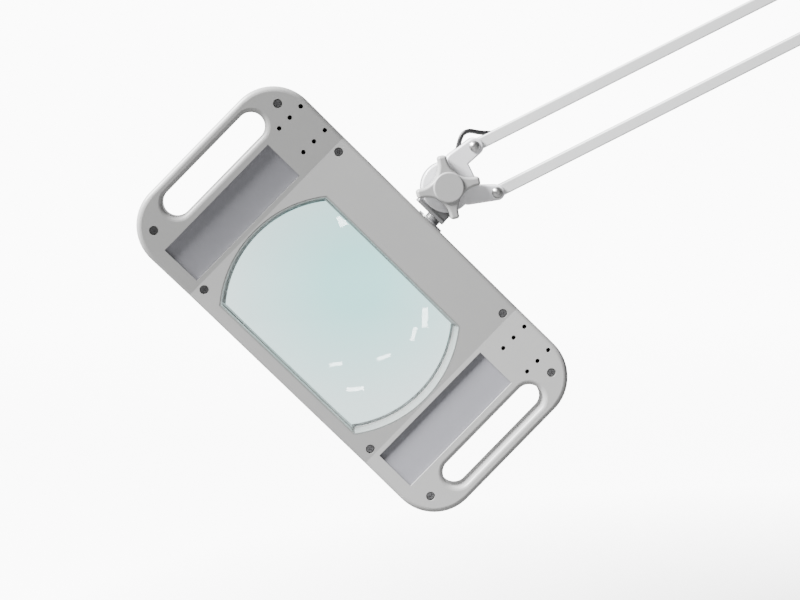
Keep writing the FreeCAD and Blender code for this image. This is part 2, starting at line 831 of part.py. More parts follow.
def light_switch():
    """A rocker switch in the back of the case."""
    flange = block("switch_flange", around("switch_x", "flange_wide"), around("switch_y", "flange_tall"),
                   ("-half_depth - flange_thick", "-half_depth"))
    barrel = block("switch_barrel", around("switch_x", "barrel_wide"), around("switch_y", "barrel_tall"),
                   ("-half_depth", "-3"))
    well = block("switch_well", around("switch_x", "well_wide"), around("switch_y", "well_tall"),
                 ("-half_depth - lap", "-7"))
    pin_hole = rod("switch_pin_hole", "rocker_pin + barrel_gap", "y", around("switch_y", "well_tall + 1"),
                   ("switch_x", "rocker_pin_level"))
    housing = cut("switch_housing", fuse("switch_case", [flange, barrel]), [well, pin_hole])
    subpart("switch_housing", housing, HEAD_FRAME)
    near, far = around("switch_x", "rocker_reach")
    ridge = [("switch_x", "-9.6"), ("switch_x", "-15.6")]
    left = [ridge[0], (near, "-13.2"), (near, "-16.9"), ridge[1]]
    right = [*ridge, (far, "-18.6"), (far, "-13.2")]
    span = around("-switch_y", "rocker_half")
    halves = [pad("rocker_" + word, draw_polygon, (points,), span, "XZ_Plane")
              for word, points in (("left", left), ("right", right))]
    pin = rod("rocker_pin_rod", "rocker_pin", "y", around("switch_y", "well_tall + 0.9"),
              ("switch_x", "rocker_pin_level"))
    subpart("switch_rocker", fuse("switch_rocker", halves + [pin]), HEAD_FRAME)


# ---------------------------------------------------------------- neck, yoke and tilt joint

def neck():
    collar = rod("neck_collar", "neck_radius", "y",
                 ("head_width / 2 - neck_below", "head_width / 2 + neck_above"))
    spigot = rod("neck_spigot", "spigot_radius", "y", ("head_width / 2 + lap", "hub_y - 17"))
    wire_way = rod("neck_wire_way", "wire_way", "y", ("head_width / 2 - 12", "hub_y - 10"))
    stud = cut("neck_stud", fuse("neck_stud_body", [collar, spigot]), [wire_way])
    subpart("neck_stud", stud, HEAD_FRAME)
    ring = rod("neck_ring", "washer_radius", "y", ("head_width / 2", "head_width / 2 + washer_thick"))
    ring_hole = rod("neck_ring_hole", "neck_radius", "y", around("head_width / 2", "lap"))
    subpart("neck_washer", cut("neck_washer", ring, [ring_hole]), HEAD_FRAME)
    hexagon = hexagon_prism("neck_hexagon", "neck_nut_radius", "neck_nut_thick")
    place(hexagon, 0, "head_width / 2 - wall - neck_nut_thick", 0, ALONG["y"])
    nut_hole = rod("neck_nut_hole", "neck_radius", "y", ("head_width / 2 - 12", "head_width / 2"))
    subpart("neck_nut", cut("neck_nut", hexagon, [nut_hole]), HEAD_FRAME)


def neck_yoke():
    """The dark yoke: a block over the neck and a round tongue inside the bracket's hub."""
    seat = "head_width / 2 + 5.5"
    shoulder = "hub_y - hub_radius - 0.6"
    low = block("yoke_foot", ("yoke_left", "yoke_right"), (seat, shoulder), ("-yoke_half", "yoke_half"))
    stem = block("yoke_stem", ("yoke_left", "yoke_right"), (seat, "110"), ("-tongue_half", "tongue_half"))
    disc = rod("yoke_disc", "tongue_radius", "z", ("-tongue_half", "tongue_half"), ("hub_x", "hub_y"))
    spigot_hole = rod("yoke_spigot_hole", "spigot_radius + running_gap", "y", ("90", "hub_y - 16.8"))
    bolt_hole = rod("yoke_bolt_hole", "bolt_radius + running_gap", "z", ARM_THROUGH, ("hub_x", "hub_y"))
    body = fuse("yoke_body", [low, stem, disc])
    soft = rounded("yoke_soft", body, "yoke_round",
                   lambda middle, edge: abs(abs(middle.z) - value("yoke_half")) < TOUCH)
    subpart("neck_yoke", cut("neck_yoke", soft, [spigot_hole, bolt_hole]), HEAD_FRAME)


def head_casting():
    """The light bracket: a hub that straddles the yoke and two forked arms that hold the bars."""
    span = ("-cheek_outer", "cheek_outer")
    upper_y, lower_y = UPPER_PIVOTS
    upper = [("16", "15.5", "8.5"), ("head_pivot_x", upper_y, "7.6")]
    lower = [("13", "-14", "8.5"), ("head_pivot_x", lower_y, "6.6")]
    body = fuse("casting_body", [
        rod("casting_hub", "hub_radius", "z", span),
        pad("casting_upper", draw_belt, (upper,), span),
        pad("casting_lower", draw_belt, (lower,), span),
        block("casting_web", ("8", "25"), ("-13", "10"), span)])
    soft = rounded("casting_soft", body, "casting_round",
                   lambda middle, edge: abs(abs(middle.z) - value("cheek_outer")) < TOUCH)
    inside = ("-cheek_inner", "cheek_inner")
    wide = "hub_radius + 0.9"
    tools = [rod("casting_tongue_room", wide, "z", ("-tongue_half - 0.2", "tongue_half + 0.2")),
             block("casting_open_side", ("-40", "0"), ("-40", "40"),
                   ("-tongue_half - 0.2", "tongue_half + 0.2")),
             rod("casting_bolt_hole", "bolt_radius", "z", ARM_THROUGH)]
    for word, y in (("upper", upper_y), ("lower", lower_y)):
        tools.append(rod("casting_room_" + word, "bar_room", "z", inside, ("head_pivot_x", y)))
        tools.append(rod("casting_pivot_" + word, "pivot_radius", "z", ARM_THROUGH, ("head_pivot_x", y)))
    cable_way = doc.addObject("Part::Cylinder", "casting_cable_way")
    drive(cable_way, "Radius", "cord_radius + 0.2")
    cable_way.Height = 25
    place(cable_way, CABLE_START[0], CABLE_START[1], 0, Rotation(Vector(0, 0, 1), CABLE_LEAN) * ALONG["x"])
    subpart("head_casting", cut("head_casting", soft, tools + [cable_way]), ARM_FRAME)


def tilt_bolt():
    """The through bolt: a hex head behind the bracket, a plain shank and a threaded end in the knob."""
    head = hexagon_prism("bolt_hexagon", "bolt_head", "bolt_head_thick")
    place(head, 0, 0, "-cheek_outer - bolt_head_thick")
    shank = rod("bolt_shank", "bolt_radius", "z", ("-cheek_outer", "cheek_outer + 12"))
    subpart("tilt_bolt", fuse("tilt_bolt", [head, shank]), ARM_FRAME)


def tilt_knob():
    """A four-lobed knob: a disc with four scoops, a raised centre and a moulded-in nut."""
    span = ("cheek_outer + 1.5", "cheek_outer + 1.5 + knob_thick")
    disc = rod("knob_disc", "knob_reach", "z", span)
    away = "(knob_flank + knob_scoop)"
    scoops = []
    for quarter in range(4):
        angle = "knob_turn + 45 + %d" % (90 * quarter)
        scoops.append(rod("knob_scoop_%d" % quarter, "knob_scoop", "z", ("0", "through"),
                          ("%s * cos(%s)" % (away, angle), "%s * sin(%s)" % (away, angle))))
    lobed = cut("knob_lobes", disc, scoops)
    low, high = value(span[0]), value(span[1])
    tips = rounded("knob_tips", lobed, "knob_tip_round", lambda middle, edge: low + 1 < middle.z < high - 1)
    soft = rounded("knob_soft", tips, "knob_edge_round", lambda middle, edge: abs(middle.z - high) < TOUCH)
    crown = rod("knob_crown", "crown_radius", "z", (span[1], span[1] + " + crown_height"))
    crown_soft = rounded("knob_crown_soft", crown, "crown_round", lambda middle, edge: middle.z > high + 1)
    boss = rod("knob_boss", "boss_radius", "z", ("cheek_outer + 0.3", span[0]))
    nut_room = rod("knob_nut_room", "insert_radius", "z", ("0", "cheek_outer + insert_top"))
    bore = rod("knob_bore", "bolt_radius + 0.6", "z", ("0", "cheek_outer + bolt_top"))
    body = fuse("knob_body", [soft, crown_soft, boss])
    subpart("tilt_knob", cut("tilt_knob", body, [nut_room, bore]), ARM_FRAME)
    nut = rod("insert_nut", "insert_radius", "z", ("cheek_outer + 0.3", "cheek_outer + insert_top"))
    thread = rod("insert_thread", "bolt_radius + running_gap", "z", ("0", "2 * arm_through"))
    subpart("knob_insert", cut("knob_insert", nut, [thread]), ARM_FRAME)


# ---------------------------------------------------------------- pivots and bars

def pivot_hardware(name, centres, frame):
    """Domed shoulder screws from the front and lock nuts at the back, one pair for each pivot."""
    screws = []
    nuts = []
    for number, (x, y) in enumerate(centres):
        word = "%s_%d" % (name, number)
        shank = rod(word + "_shank", "pivot_radius", "z", ("-cheek_outer - 4.2", "cheek_outer"), (x, y))
        dome = ball(word + "_dome", "screw_head * 1.15", (x, y, "cheek_outer - screw_head * 0.55"))
        rim = rod(word + "_rim", "screw_head", "z", ("cheek_outer", "cheek_outer + 6"), (x, y))
        recess = hexagon_prism(word + "_recess", "key_radius", "lap")
        place(recess, x, y, "cheek_outer + 1.4")
        head = cut(word + "_head", common(word + "_cap", dome, rim), [recess])
        screws.append(fuse(word + "_screw", [shank, head]))
        hexagon = hexagon_prism(word + "_hexagon", "lock_nut_radius", "lock_nut_thick")
        place(hexagon, x, y, "-cheek_outer - lock_nut_thick")
        hole = rod(word + "_nut_hole", "pivot_radius", "z", ("-arm_through", "0"), (x, y))
        nuts.append(cut(word + "_nut", hexagon, [hole]))
    subpart(name + "_pivot_screws", group(name + "_pivot_screws", screws), frame)
    subpart(name + "_pivot_nuts", group(name + "_pivot_nuts", nuts), frame)


def bar(label, start, y, frame, slots, face, pin_at=None):
    """A square tube with a cross hole at each end and cable slots in its outer face."""
    finish = "%s + arm_span" % start
    half = "bar_size / 2"
    inner = "bar_size / 2 - bar_wall"
    outer = block(label + "_outer", ("%s - bar_end" % start, "%s + bar_end" % finish),
                  ("%s - %s" % (y, half), "%s + %s" % (y, half)), ("-" + half, half))
    edges = rounded(label + "_edges", outer, "bar_round",
                    lambda middle, edge: edge.Length > value("arm_span"))
    tools = [block(label + "_inner", ("%s - arm_through" % start, "%s + arm_through" % finish),
                   ("%s - (%s)" % (y, inner), "%s + %s" % (y, inner)), ("-(%s)" % inner, inner))]
    for word, x in (("near", start), ("far", finish)):
        tools.append(rod("%s_hole_%s" % (label, word), "pivot_radius + running_gap", "z",
                         ARM_THROUGH, (x, y)))
    for number, (low, high) in enumerate(slots):
        side = ("%s + 3" % y, "%s + 8" % y) if face > 0 else ("%s - 8" % y, "%s - 3" % y)
        tools.append(block("%s_slot_%d" % (label, number), (low, high), side,
                           ("-bar_slot_half", "bar_slot_half")))
    if pin_at:
        tools.append(rod(label + "_pin_hole", "spring_pin_radius", "z", ARM_THROUGH, pin_at))
    subpart(label, cut(label, edges, tools), frame)


def spring_pin(label, x, y, frame):
    solid = rod(label + "_rod", "spring_pin_radius", "z",
                ("-spring_side - 2.5", "spring_side + 2.5"), (x, y))
    subpart(label, group(label, [solid]), frame)


def spring_pair(label, start, finish, frame):
    """Two springs, one on each side of the bars, as plain closed forms with thin hooked ends."""
    first = Vector(value(start[0]), value(start[1]), 0)
    last = Vector(value(finish[0]), value(finish[1]), 0)
    way = last - first
    length = way.Length
    turn = Rotation(Vector(0, 0, 1), way.normalize())
    springs = []
    for side in (1, -1):
        word = "%s_%s" % (label, "front" if side > 0 else "back")
        level = Vector(0, 0, side * value("spring_side"))
        body = doc.addObject("Part::Cylinder", word + "_coils")
        drive(body, "Radius", "spring_radius")
        body.Height = length - 26
        body.Placement = Placement(first + way * 13 + level, turn)
        wire = doc.addObject("Part::Cylinder", word + "_wire")
        wire.Radius = 0.6
        wire.Height = length - 4.4
        wire.Placement = Placement(first + way * 2.2 + level, turn)
        springs.append(fuse(word, [body, wire]))
    subpart(label, group(label, springs), frame)


def arms():
    top_y, bottom_y = UPPER_PIVOTS
    start = "head_pivot_x"
    far = "head_pivot_x + arm_span"
    upper_pin = (far + " - spring_reach", top_y + " - spring_pin_offset")
    slots = [("41", "62"), (far + " - 72", far + " - 32")]
    bar("upper_bar_top", start, top_y, ARM_FRAME, slots, 1, upper_pin)
    bar("upper_bar_bottom", start, bottom_y, ARM_FRAME, [], 1)
    spring_pin("upper_spring_pin", *upper_pin, ARM_FRAME)
    spring_pair("upper_springs", (far, top_y + " - spring_lever"), upper_pin, ARM_FRAME)
    lower_pin = ("spring_reach + 25", "-pivot_spread + spring_pin_offset")
    bar("lower_bar_inner", "0", "pivot_spread", LOWER_FRAME, [], 1)
    bar("lower_bar_outer", "0", "-pivot_spread", LOWER_FRAME,
        [("28", "66"), ("arm_span - 62", "arm_span - 30")], -1, lower_pin)
    spring_pin("lower_spring_pin", *lower_pin, LOWER_FRAME)
    spring_pair("lower_springs", ("0", "-pivot_spread + spring_lever"), lower_pin, LOWER_FRAME)


# ---------------------------------------------------------------- elbow and base bracket

def cheek_plate(label, circles, holes, span, frame):
    body = pad(label + "_body", draw_belt, (circles,), span)
    outer = max(abs(value(span[0])), abs(value(span[1])))
    soft = rounded(label + "_soft", body, "cheek_round",
                   lambda middle, edge: abs(abs(middle.z) - outer) < TOUCH)
    tools = [rod("%s_hole_%d" % (label, number), radius, "z", ARM_THROUGH, (x, y))
             for number, (x, y, radius) in enumerate(holes)]
    subpart(label, cut(label, soft, tools), frame)


def elbow():
    circles = [(x, y, "cheek_lobe") for x, y in ELBOW_PIVOTS]
    pin_x = "(%s) + spring_lever * sin(arm_angle)" % ELBOW_PIVOTS[0][0]
    pin_y = "(%s) - spring_lever * cos(arm_angle)" % ELBOW_PIVOTS[0][1]
    spacer_at = ("spacer_x", "spacer_y")
    foot_at = ("clip_x", "clip_foot_y")
    ring_at = ("clip_y", "0")
    holes = [(x, y, "pivot_radius") for x, y in ELBOW_PIVOTS]
    holes += [(pin_x, pin_y, "spring_pin_radius"), (*foot_at, "rivet_radius"), (*spacer_at, "rivet_radius")]
    cheek_plate("elbow_plate_front", circles, holes, ("cheek_inner", "cheek_outer"), LEVEL_ELBOW)
    cheek_plate("elbow_plate_back", circles, holes, ("-cheek_outer", "-cheek_inner"), LEVEL_ELBOW)
    pivot_hardware("elbow", ELBOW_PIVOTS, LEVEL_ELBOW)
    spring_pin("elbow_spring_pin", pin_x, pin_y, LEVEL_ELBOW)
    sleeve = rod("spacer_sleeve", "spacer_radius", "z", ("-cheek_inner", "cheek_inner"), spacer_at)
    rivet = rod("spacer_rivet", "rivet_radius", "z", ("-cheek_outer", "cheek_outer"), spacer_at)
    subpart("elbow_spacer", fuse("elbow_spacer", [sleeve, rivet]), LEVEL_ELBOW)
    foot = rod("clip_foot", "spacer_radius", "z", ("-cheek_inner", "cheek_inner"), foot_at)
    post = rod("clip_post", "rivet_radius", "z", ("-cheek_outer", "cheek_outer"), foot_at)
    stem = block("clip_stem", around("clip_x", "1.5"), ("-12", "-6"), ("-2.5", "2.5"))
    ring = rod("clip_ring_rod", "clip_ring", "x", ("clip_x - 2.5", "clip_x + 4"), ring_at)
    way = rod("clip_way", "cord_radius", "x", around("clip_x", "6"), ring_at)
    subpart("elbow_clip", cut("elbow_clip", fuse("clip_body", [foot, post, stem, ring]), [way]), LEVEL_ELBOW)


def base_bracket():
    """Two cheeks on a web block that turns on the clamp's socket."""
    low = ("-27", "6.0")
    circles = [(*BASE_PIVOTS[0], "cheek_lobe"), ("-12", *low), ("12", *low), (*BASE_PIVOTS[1], "cheek_lobe")]
    front = pad("base_cheek_front", draw_belt, (circles,), ("cheek_inner", "cheek_outer"))
    back = pad("base_cheek_back", draw_belt, (circles,), ("-cheek_outer", "-cheek_inner"))
    web = block("base_web", ("-10", "18"), ("foot_low", "-11"), ("-cheek_inner", "cheek_inner"))
    foot = rod("base_foot", "bracket_foot", "y", ("foot_low", "foot_high"))
    body = fuse("base_body", [front, back, web, foot])
    lever_x = "-(%s) - spring_lever * sin(lower_angle)" % LOW_SIDE[0]
    lever_y = "-(%s) + spring_lever * cos(lower_angle)" % LOW_SIDE[1]
    tools = [rod("base_post_hole", "post_radius", "y", ("-40", "-15")),
             rod("base_pin_hole", "spring_pin_radius", "z", ARM_THROUGH, (lever_x, lever_y)),
             rod("base_cable_in", "cord_radius", "x", ("8", "40"), ("cable_in_y", "0")),
             rod("base_gland_hole", "gland_plug", "x", ("8", "40"), ("gland_y", "0"))]
    for number, (x, y) in enumerate(BASE_PIVOTS):
        tools.append(rod("base_pivot_%d" % number, "pivot_radius", "z", ARM_THROUGH, (x, y)))
    subpart("base_bracket", cut("base_bracket", body, tools), LEVEL_BASE)
    pivot_hardware("base", BASE_PIVOTS, LEVEL_BASE)
    spring_pin("base_spring_pin", lever_x, lever_y, LEVEL_BASE)
    post = rod("post_rod", "post_radius", "z", ("4.5", "base_height - 15"))
    subpart("swivel_post", group("swivel_post", [post]), WORLD_FRAME)
    ring = rod("washer_ring", "socket_radius", "z", ("socket_top", "base_height + foot_low"))
    hole = rod("washer_hole", "post_radius", "z", ("0", "through"))
    subpart("post_washer", cut("post_washer", ring, [hole]), WORLD_FRAME)
    gland_at = ("gland_y", "0")
    taper = cone("gland_taper", ("4.6", "2.8"), "x", ("18", "44"), gland_at)
    plug = rod("gland_plug_rod", "gland_plug", "x", ("10", "18"), gland_at)
    bore = rod("gland_bore", "cord_radius", "x", ("8", "50"), gland_at)
    subpart("lead_gland", cut("lead_gland", fuse("gland_body", [taper, plug]), [bore]), LEVEL_BASE)


# ---------------------------------------------------------------- clamp

def clamp():
    jaw_low = "-throat - 11 - jaw_thick"
    jaw_top = "-throat - 11"
    outline = [("-30", "2"), ("22", "2"), ("22", jaw_top), ("-14", jaw_top),
               ("-14", jaw_low), ("34", jaw_low), ("34", "2 + jaw_thick"), ("-30", "2 + jaw_thick")]
    frame = pad("clamp_c", draw_polygon, (outline,), ("-clamp_width / 2", "clamp_width / 2"))
    corners = rounded("clamp_corners", frame, "corner_round",
                      lambda middle, edge: middle.x > 34 - TOUCH and abs(middle.z) < TOUCH)
    soft = rounded("clamp_edges", corners, "frame_round",
                   lambda middle, edge: abs(abs(middle.z) - value("clamp_width / 2")) < TOUCH)
    socket = rod("clamp_socket", "socket_radius", "y", ("13", "socket_top"))
    boss = rod("clamp_boss", "boss_low", "y", (jaw_low + " - 6", jaw_low + " + 1"))
    tools = [rod("clamp_post_bore", "post_radius + running_gap", "y", ("4", "through")),
             rod("clamp_thread", "screw_radius + running_gap", "y",
                 (jaw_low + " - 10", jaw_low + " + 20")),
             rod("clamp_lock_thread", "lock_stem + running_gap", "x", ("0", "20"), ("lock_level", "0"))]
    body = fuse("clamp_body", [soft, socket, boss])
    subpart("clamp_frame", cut("clamp_frame", body, tools), CLAMP_FRAME)
    cushion = block("pad_block", ("-29", "21"), ("0", "2"), ("-14", "14"))
    subpart("clamp_pad", group("clamp_pad", [cushion]), CLAMP_FRAME)
    shoe_low = "-throat - shoe_thick"
    cup_low = "-throat - shoe_thick - cup_thick"
    disc = rod("shoe_disc", "shoe_radius", "y", (shoe_low, "-throat"))
    cup = rod("shoe_cup", "cup_radius", "y", (cup_low, shoe_low))
    seat = rod("shoe_seat", "screw_radius - 1 + running_gap", "y", (cup_low + " - 2", "-throat - 3"))
    subpart("clamp_shoe", cut("clamp_shoe", fuse("shoe_body", [disc, cup]), [seat]), CLAMP_FRAME)
    head_top = "-floor_depth + knuckle_height"
    handle_at = ("-floor_depth + handle_level", "0")
    tip = rod("screw_tip", "screw_radius - 1", "y", (cup_low + " - 0.2", "-throat - 3.2"))
    thread = rod("screw_thread", "screw_radius", "y", (head_top, cup_low + " - 0.2"))
    head = rod("screw_knuckle", "knuckle_radius", "y", ("-floor_depth", head_top))
    way = rod("screw_way", "handle_radius", "x", ARM_THROUGH, handle_at)
    subpart("clamp_screw", cut("clamp_screw", fuse("screw_body", [tip, thread, head]), [way]), CLAMP_FRAME)
    bar_rod = rod("handle_rod", "handle_radius", "x", ("-handle_half", "handle_half"), handle_at)
    knobs = [rod("handle_cap_" + word, "cap_radius", "x", around(middle, "3"), handle_at)
             for word, middle in (("left", "-handle_half - 1"), ("right", "handle_half + 1"))]
    subpart("clamp_handle", fuse("clamp_handle", [bar_rod] + knobs), CLAMP_FRAME)
    stem = rod("lock_stem_rod", "lock_stem", "x", ("6.4", "16"), ("lock_level", "0"))
    grip = rod("lock_grip_rod", "lock_grip", "x", ("15", "25"), ("lock_level", "0"))
    flutes = []
    for number in range(8):
        angle = "%d" % (45 * number)
        flutes.append(rod("lock_flute_%d" % number, "lock_flute", "x", ("10", "30"),
                          ("lock_level + 9.2 * cos(%s)" % angle, "9.2 * sin(%s)" % angle)))
    subpart("lock_knob", cut("lock_knob", fuse("lock_body", [stem, grip]), flutes), CLAMP_FRAME)


# ---------------------------------------------------------------- cable

def in_frame(frame, points):
    return [frame.multVec(Vector(*point)) for point in points]


def cables():
    """The cable: from the bracket through the bars to the base, then free to its power adapter."""
    radius = value("cord_radius")
    top = value(UPPER_PIVOTS[0])
    far = value("head_pivot_x + arm_span")
    head_loop = [(*CABLE_START, 0), (29.9, 34, 0), (39.4, 36.6, 0), (49, 27.4, 0), (62, top + 0.5, 0)]
    run = [(94, top + 0.9, 0), (150, top + 0.5, 0), (210, top + 0.8, 0), (270, top + 0.5, 0),
           (330, top + 0.8, 0), (far - 90, top + 0.5, 0), (far - 64, top + 1.8, 0), (far - 42, top + 10, 0)]
    elbow_in = [(-34, 25, 0), (-14, 36, 0), (6, 35, 0), (20, 18, 0), (28, 0, 0), (40, -4, 0), (46, -4, 0)]
    upper = in_frame(ARM_FRAME, head_loop + run) + in_frame(LEVEL_ELBOW, elbow_in)
    subpart("cable_upper", cord_tube("cable_upper", upper, radius), Placement())
    outer = -value("pivot_spread")
    span = value("arm_span")
    elbow_out = [(46, -4, 0), (57, -4, 0), (76, -8, 0), (90, -23, 0), (93, -44, 0)]
    lower_run = [(span - 32, outer - 8.4, 0), (span - 52, outer - 1.6, 0), (span - 84, outer - 0.5, 0),
                 (300, outer - 0.9, 0), (240, outer - 0.5, 0), (180, outer - 0.9, 0), (120, outer - 0.5, 0),
                 (84, outer - 0.9, 0), (58, outer - 2, 0), (36, outer - 9.5, 0)]
    base_loop = [(45, 12, 0), (50, -4, 0), (42, -15.2, 0), (27, -16, 0), (12, -16, 0)]
    lower = in_frame(LEVEL_ELBOW, elbow_out) + in_frame(LOWER_FRAME, lower_run)
    lower += in_frame(LEVEL_BASE, base_loop)
    subpart("cable_lower", cord_tube("cable_lower", lower, radius), Placement())
    free_cord(radius)


def free_cord(radius):
    """The free lead down to the surface, its coil of two layers and the tail."""
    ground = radius - value("floor_depth")
    coil_x = value("coil_x")
    side = -value("coil_radius + coil_half + cord_radius + coil_clear - 2")
    lead = [(12, 0, 50), (40, 0, 50), (62, -1, 48), (78, -6, 32), (82, -12, -4), (78, -20, -50), (76, -27, -96),
            (80, -33, -134), (92, side, ground), (coil_x - 3, side, ground)]
    subpart("cord_lead", cord_tube("cord_lead", [Vector(*point) for point in lead], radius), Placement())
    outer = rod("coil_outer", "coil_radius + coil_half", "z",
                ("-floor_depth", "4 * cord_radius - floor_depth"),
                ("coil_x", "0"))
    inner = rod("coil_inner", "coil_radius - coil_half", "z", ("-floor_depth - 2", "-floor_depth + 20"),
                ("coil_x", "0"))
    subpart("cord_coil", cut("cord_coil", outer, [inner]), WORLD_FRAME)
    relief_x = coil_x + value("relief_start")
    relief_y = side + value("adapter_side")
    relief_z = value("relief_level - floor_depth")
    tail = [(coil_x + 4, side, ground), (coil_x + 15, side, ground), (coil_x + 25, side + 5, ground + 0.6),
            (coil_x + 33, relief_y - 3, relief_z - 0.6), (coil_x + 40, relief_y, relief_z),
            (relief_x - 0.5, relief_y, relief_z)]
    subpart("cord_tail", cord_tube("cord_tail", [Vector(*point) for point in tail], radius), Placement())
    adapter()


def adapter():
    """A plug-in power adapter on its side, with a tapered strain relief and two round pins."""
    low = "-floor_depth"
    side = "(adapter_side - coil_radius - coil_half - cord_radius - coil_clear + 2)"
    start = "coil_x + relief_start"
    body_start = start + " + relief_length - 1"
    body_end = body_start + " + adapter_length"
    case = block("adapter_block", (body_start, body_end),
                 (side + " - adapter_width / 2", side + " + adapter_width / 2"),
                 (low, "adapter_height - floor_depth"))
    soft = rounded("adapter_soft", case, 3, lambda middle, edge: True)
    relief = cone("adapter_relief", ("2.6", "4.4"), "x", (start, body_start + " + 1"),
                  (side, "relief_level - floor_depth"))
    subpart("adapter_case", fuse("adapter_case", [soft, relief]), WORLD_FRAME)
    pins = []
    pin_end = body_end + " + 19"
    for number, sign in enumerate("-+"):
        pin = rod("adapter_pin_%d" % number, "plug_pin", "x", (body_end, pin_end),
                  ("%s %s plug_pin_spread" % (side, sign), "adapter_height / 2 - floor_depth"))
        pins.append(rounded("adapter_pin_round_%d" % number, pin, 1.2,
                            lambda middle, edge: middle.x > value(pin_end) - 1))
    subpart("adapter_pins", group("adapter_pins", pins), WORLD_FRAME)


# ---------------------------------------------------------------- build and write

def build():
    front_shell()
    back_shell()
    case_screws()
    lens()
    lens_gasket()
    lens_bezel()
    diffusers()
    led_boards()
    driver()
    light_switch()
    neck()
    neck_yoke()
    head_casting()
    tilt_bolt()
    tilt_knob()
    pivot_hardware("head", [("head_pivot_x", y) for y in UPPER_PIVOTS], ARM_FRAME)
    arms()
    elbow()
    base_bracket()
    clamp()
    cables()


def check_and_write():
    doc.recompute()
    for item in doc.Objects:
        if {"Invalid", "Error"} & set(item.State):
            raise RuntimeError("%s failed: %s" % (item.Name, item.State))
    os.makedirs("parts", exist_ok=True)
    for solid in SUBPARTS:
        if solid.Shape.isNull() or not solid.Shape.isValid():
            raise RuntimeError(solid.Label + " has no valid shape")
        solid.Shape.exportStep(os.path.join("parts", solid.Label + ".step"))
    print("%d sub-parts" % len(SUBPARTS))


build()
check_and_write()
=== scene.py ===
import json
import math

import bmesh
import bpy
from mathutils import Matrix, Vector


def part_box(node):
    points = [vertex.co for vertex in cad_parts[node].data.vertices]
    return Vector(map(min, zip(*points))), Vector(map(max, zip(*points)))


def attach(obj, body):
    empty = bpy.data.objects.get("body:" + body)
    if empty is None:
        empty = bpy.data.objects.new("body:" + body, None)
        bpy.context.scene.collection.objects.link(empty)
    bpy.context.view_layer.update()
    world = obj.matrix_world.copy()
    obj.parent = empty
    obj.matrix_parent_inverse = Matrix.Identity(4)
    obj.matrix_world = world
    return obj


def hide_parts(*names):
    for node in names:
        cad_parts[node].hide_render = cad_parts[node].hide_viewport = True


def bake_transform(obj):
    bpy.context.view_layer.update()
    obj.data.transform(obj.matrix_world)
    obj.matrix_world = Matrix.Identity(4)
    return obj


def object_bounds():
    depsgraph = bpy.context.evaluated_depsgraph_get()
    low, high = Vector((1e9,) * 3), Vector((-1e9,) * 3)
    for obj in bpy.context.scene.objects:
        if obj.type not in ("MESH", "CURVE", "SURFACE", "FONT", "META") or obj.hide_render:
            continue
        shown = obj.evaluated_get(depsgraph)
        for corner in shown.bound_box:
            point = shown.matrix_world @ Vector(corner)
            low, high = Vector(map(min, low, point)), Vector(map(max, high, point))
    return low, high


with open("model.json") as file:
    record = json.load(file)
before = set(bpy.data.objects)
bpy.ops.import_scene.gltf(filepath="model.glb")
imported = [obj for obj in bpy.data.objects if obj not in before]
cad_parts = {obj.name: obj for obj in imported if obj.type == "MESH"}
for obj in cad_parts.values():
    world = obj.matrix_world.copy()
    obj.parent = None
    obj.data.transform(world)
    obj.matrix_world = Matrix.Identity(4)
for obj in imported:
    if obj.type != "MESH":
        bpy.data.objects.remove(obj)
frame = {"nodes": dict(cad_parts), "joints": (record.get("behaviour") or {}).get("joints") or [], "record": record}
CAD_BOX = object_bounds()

# The looks of a magnifying lamp: materials for the CAD nodes, and finer pieces for the lens, the
# cables, the balance springs, the threads and the free cord. Lengths are in metres; mm() turns
# millimetres into metres.

NODES = frame["nodes"]
JOINTS = {joint["name"]: joint for joint in frame["joints"]}
SCENE = bpy.context.scene


def mm(*numbers):
    """Millimetres in metres: one number, or a vector of three."""
    if len(numbers) == 1:
        return numbers[0] / 1000
    return Vector(numbers) / 1000


def pivot(name):
    return Vector(JOINTS[name]["pos_m"])


class PlaneFrame:
    """A frame in the XZ plane: x along a piece, y across it, z out of the plane towards -Y."""

    def __init__(self, origin, along):
        self.origin = Vector((origin.x, 0, origin.z))
        self.x = Vector((along.x, 0, along.z)).normalized()
        self.y = Vector((-self.x.z, 0, self.x.x))
        self.z = Vector((0, -1, 0))

    def at(self, x, y, z=0.0):
        """The world place of a point given in millimetres."""
        return self.origin + mm(x) * self.x + mm(y) * self.y + mm(z) * self.z


ACROSS = Vector((1, 0, 0))
ELBOW_MIDDLE = (pivot("upper_arm_tilt") + pivot("upper_link")) / 2
BASE_MIDDLE = (pivot("lower_arm_tilt") + pivot("lower_link")) / 2
ARM = PlaneFrame(pivot("head_tilt"), pivot("upper_arm_tilt") - pivot("bracket_level"))
LOWER = PlaneFrame(BASE_MIDDLE, pivot("elbow_level") - pivot("lower_arm_tilt"))
ELBOW = PlaneFrame(ELBOW_MIDDLE, ACROSS)
BASE = PlaneFrame(BASE_MIDDLE, ACROSS)
NECK_AXIS = Vector(JOINTS["head_swivel"]["axis"])
NECK_HEIGHT = 97.0
HEAD = PlaneFrame(pivot("head_swivel") - mm(NECK_HEIGHT) * NECK_AXIS,
                  Vector((NECK_AXIS.z, 0, -NECK_AXIS.x)))

# Shared sizes, in millimetres.
SPAN = 430.0
HEAD_PIVOT = 36.0
UPPER_TOP = 19.8
LOWER_OUTER = -21.6
CORD_RADIUS = 2.0
FLOOR = CAD_BOX[0].z


# ---------------------------------------------------------------- camera

TARGET = Vector((-0.5765, 0.0, 0.2284))
CAMERA_AZIMUTH = math.radians(-5.0)
CAMERA_ELEVATION = math.radians(5.5)
CAMERA_DISTANCE = 1.6


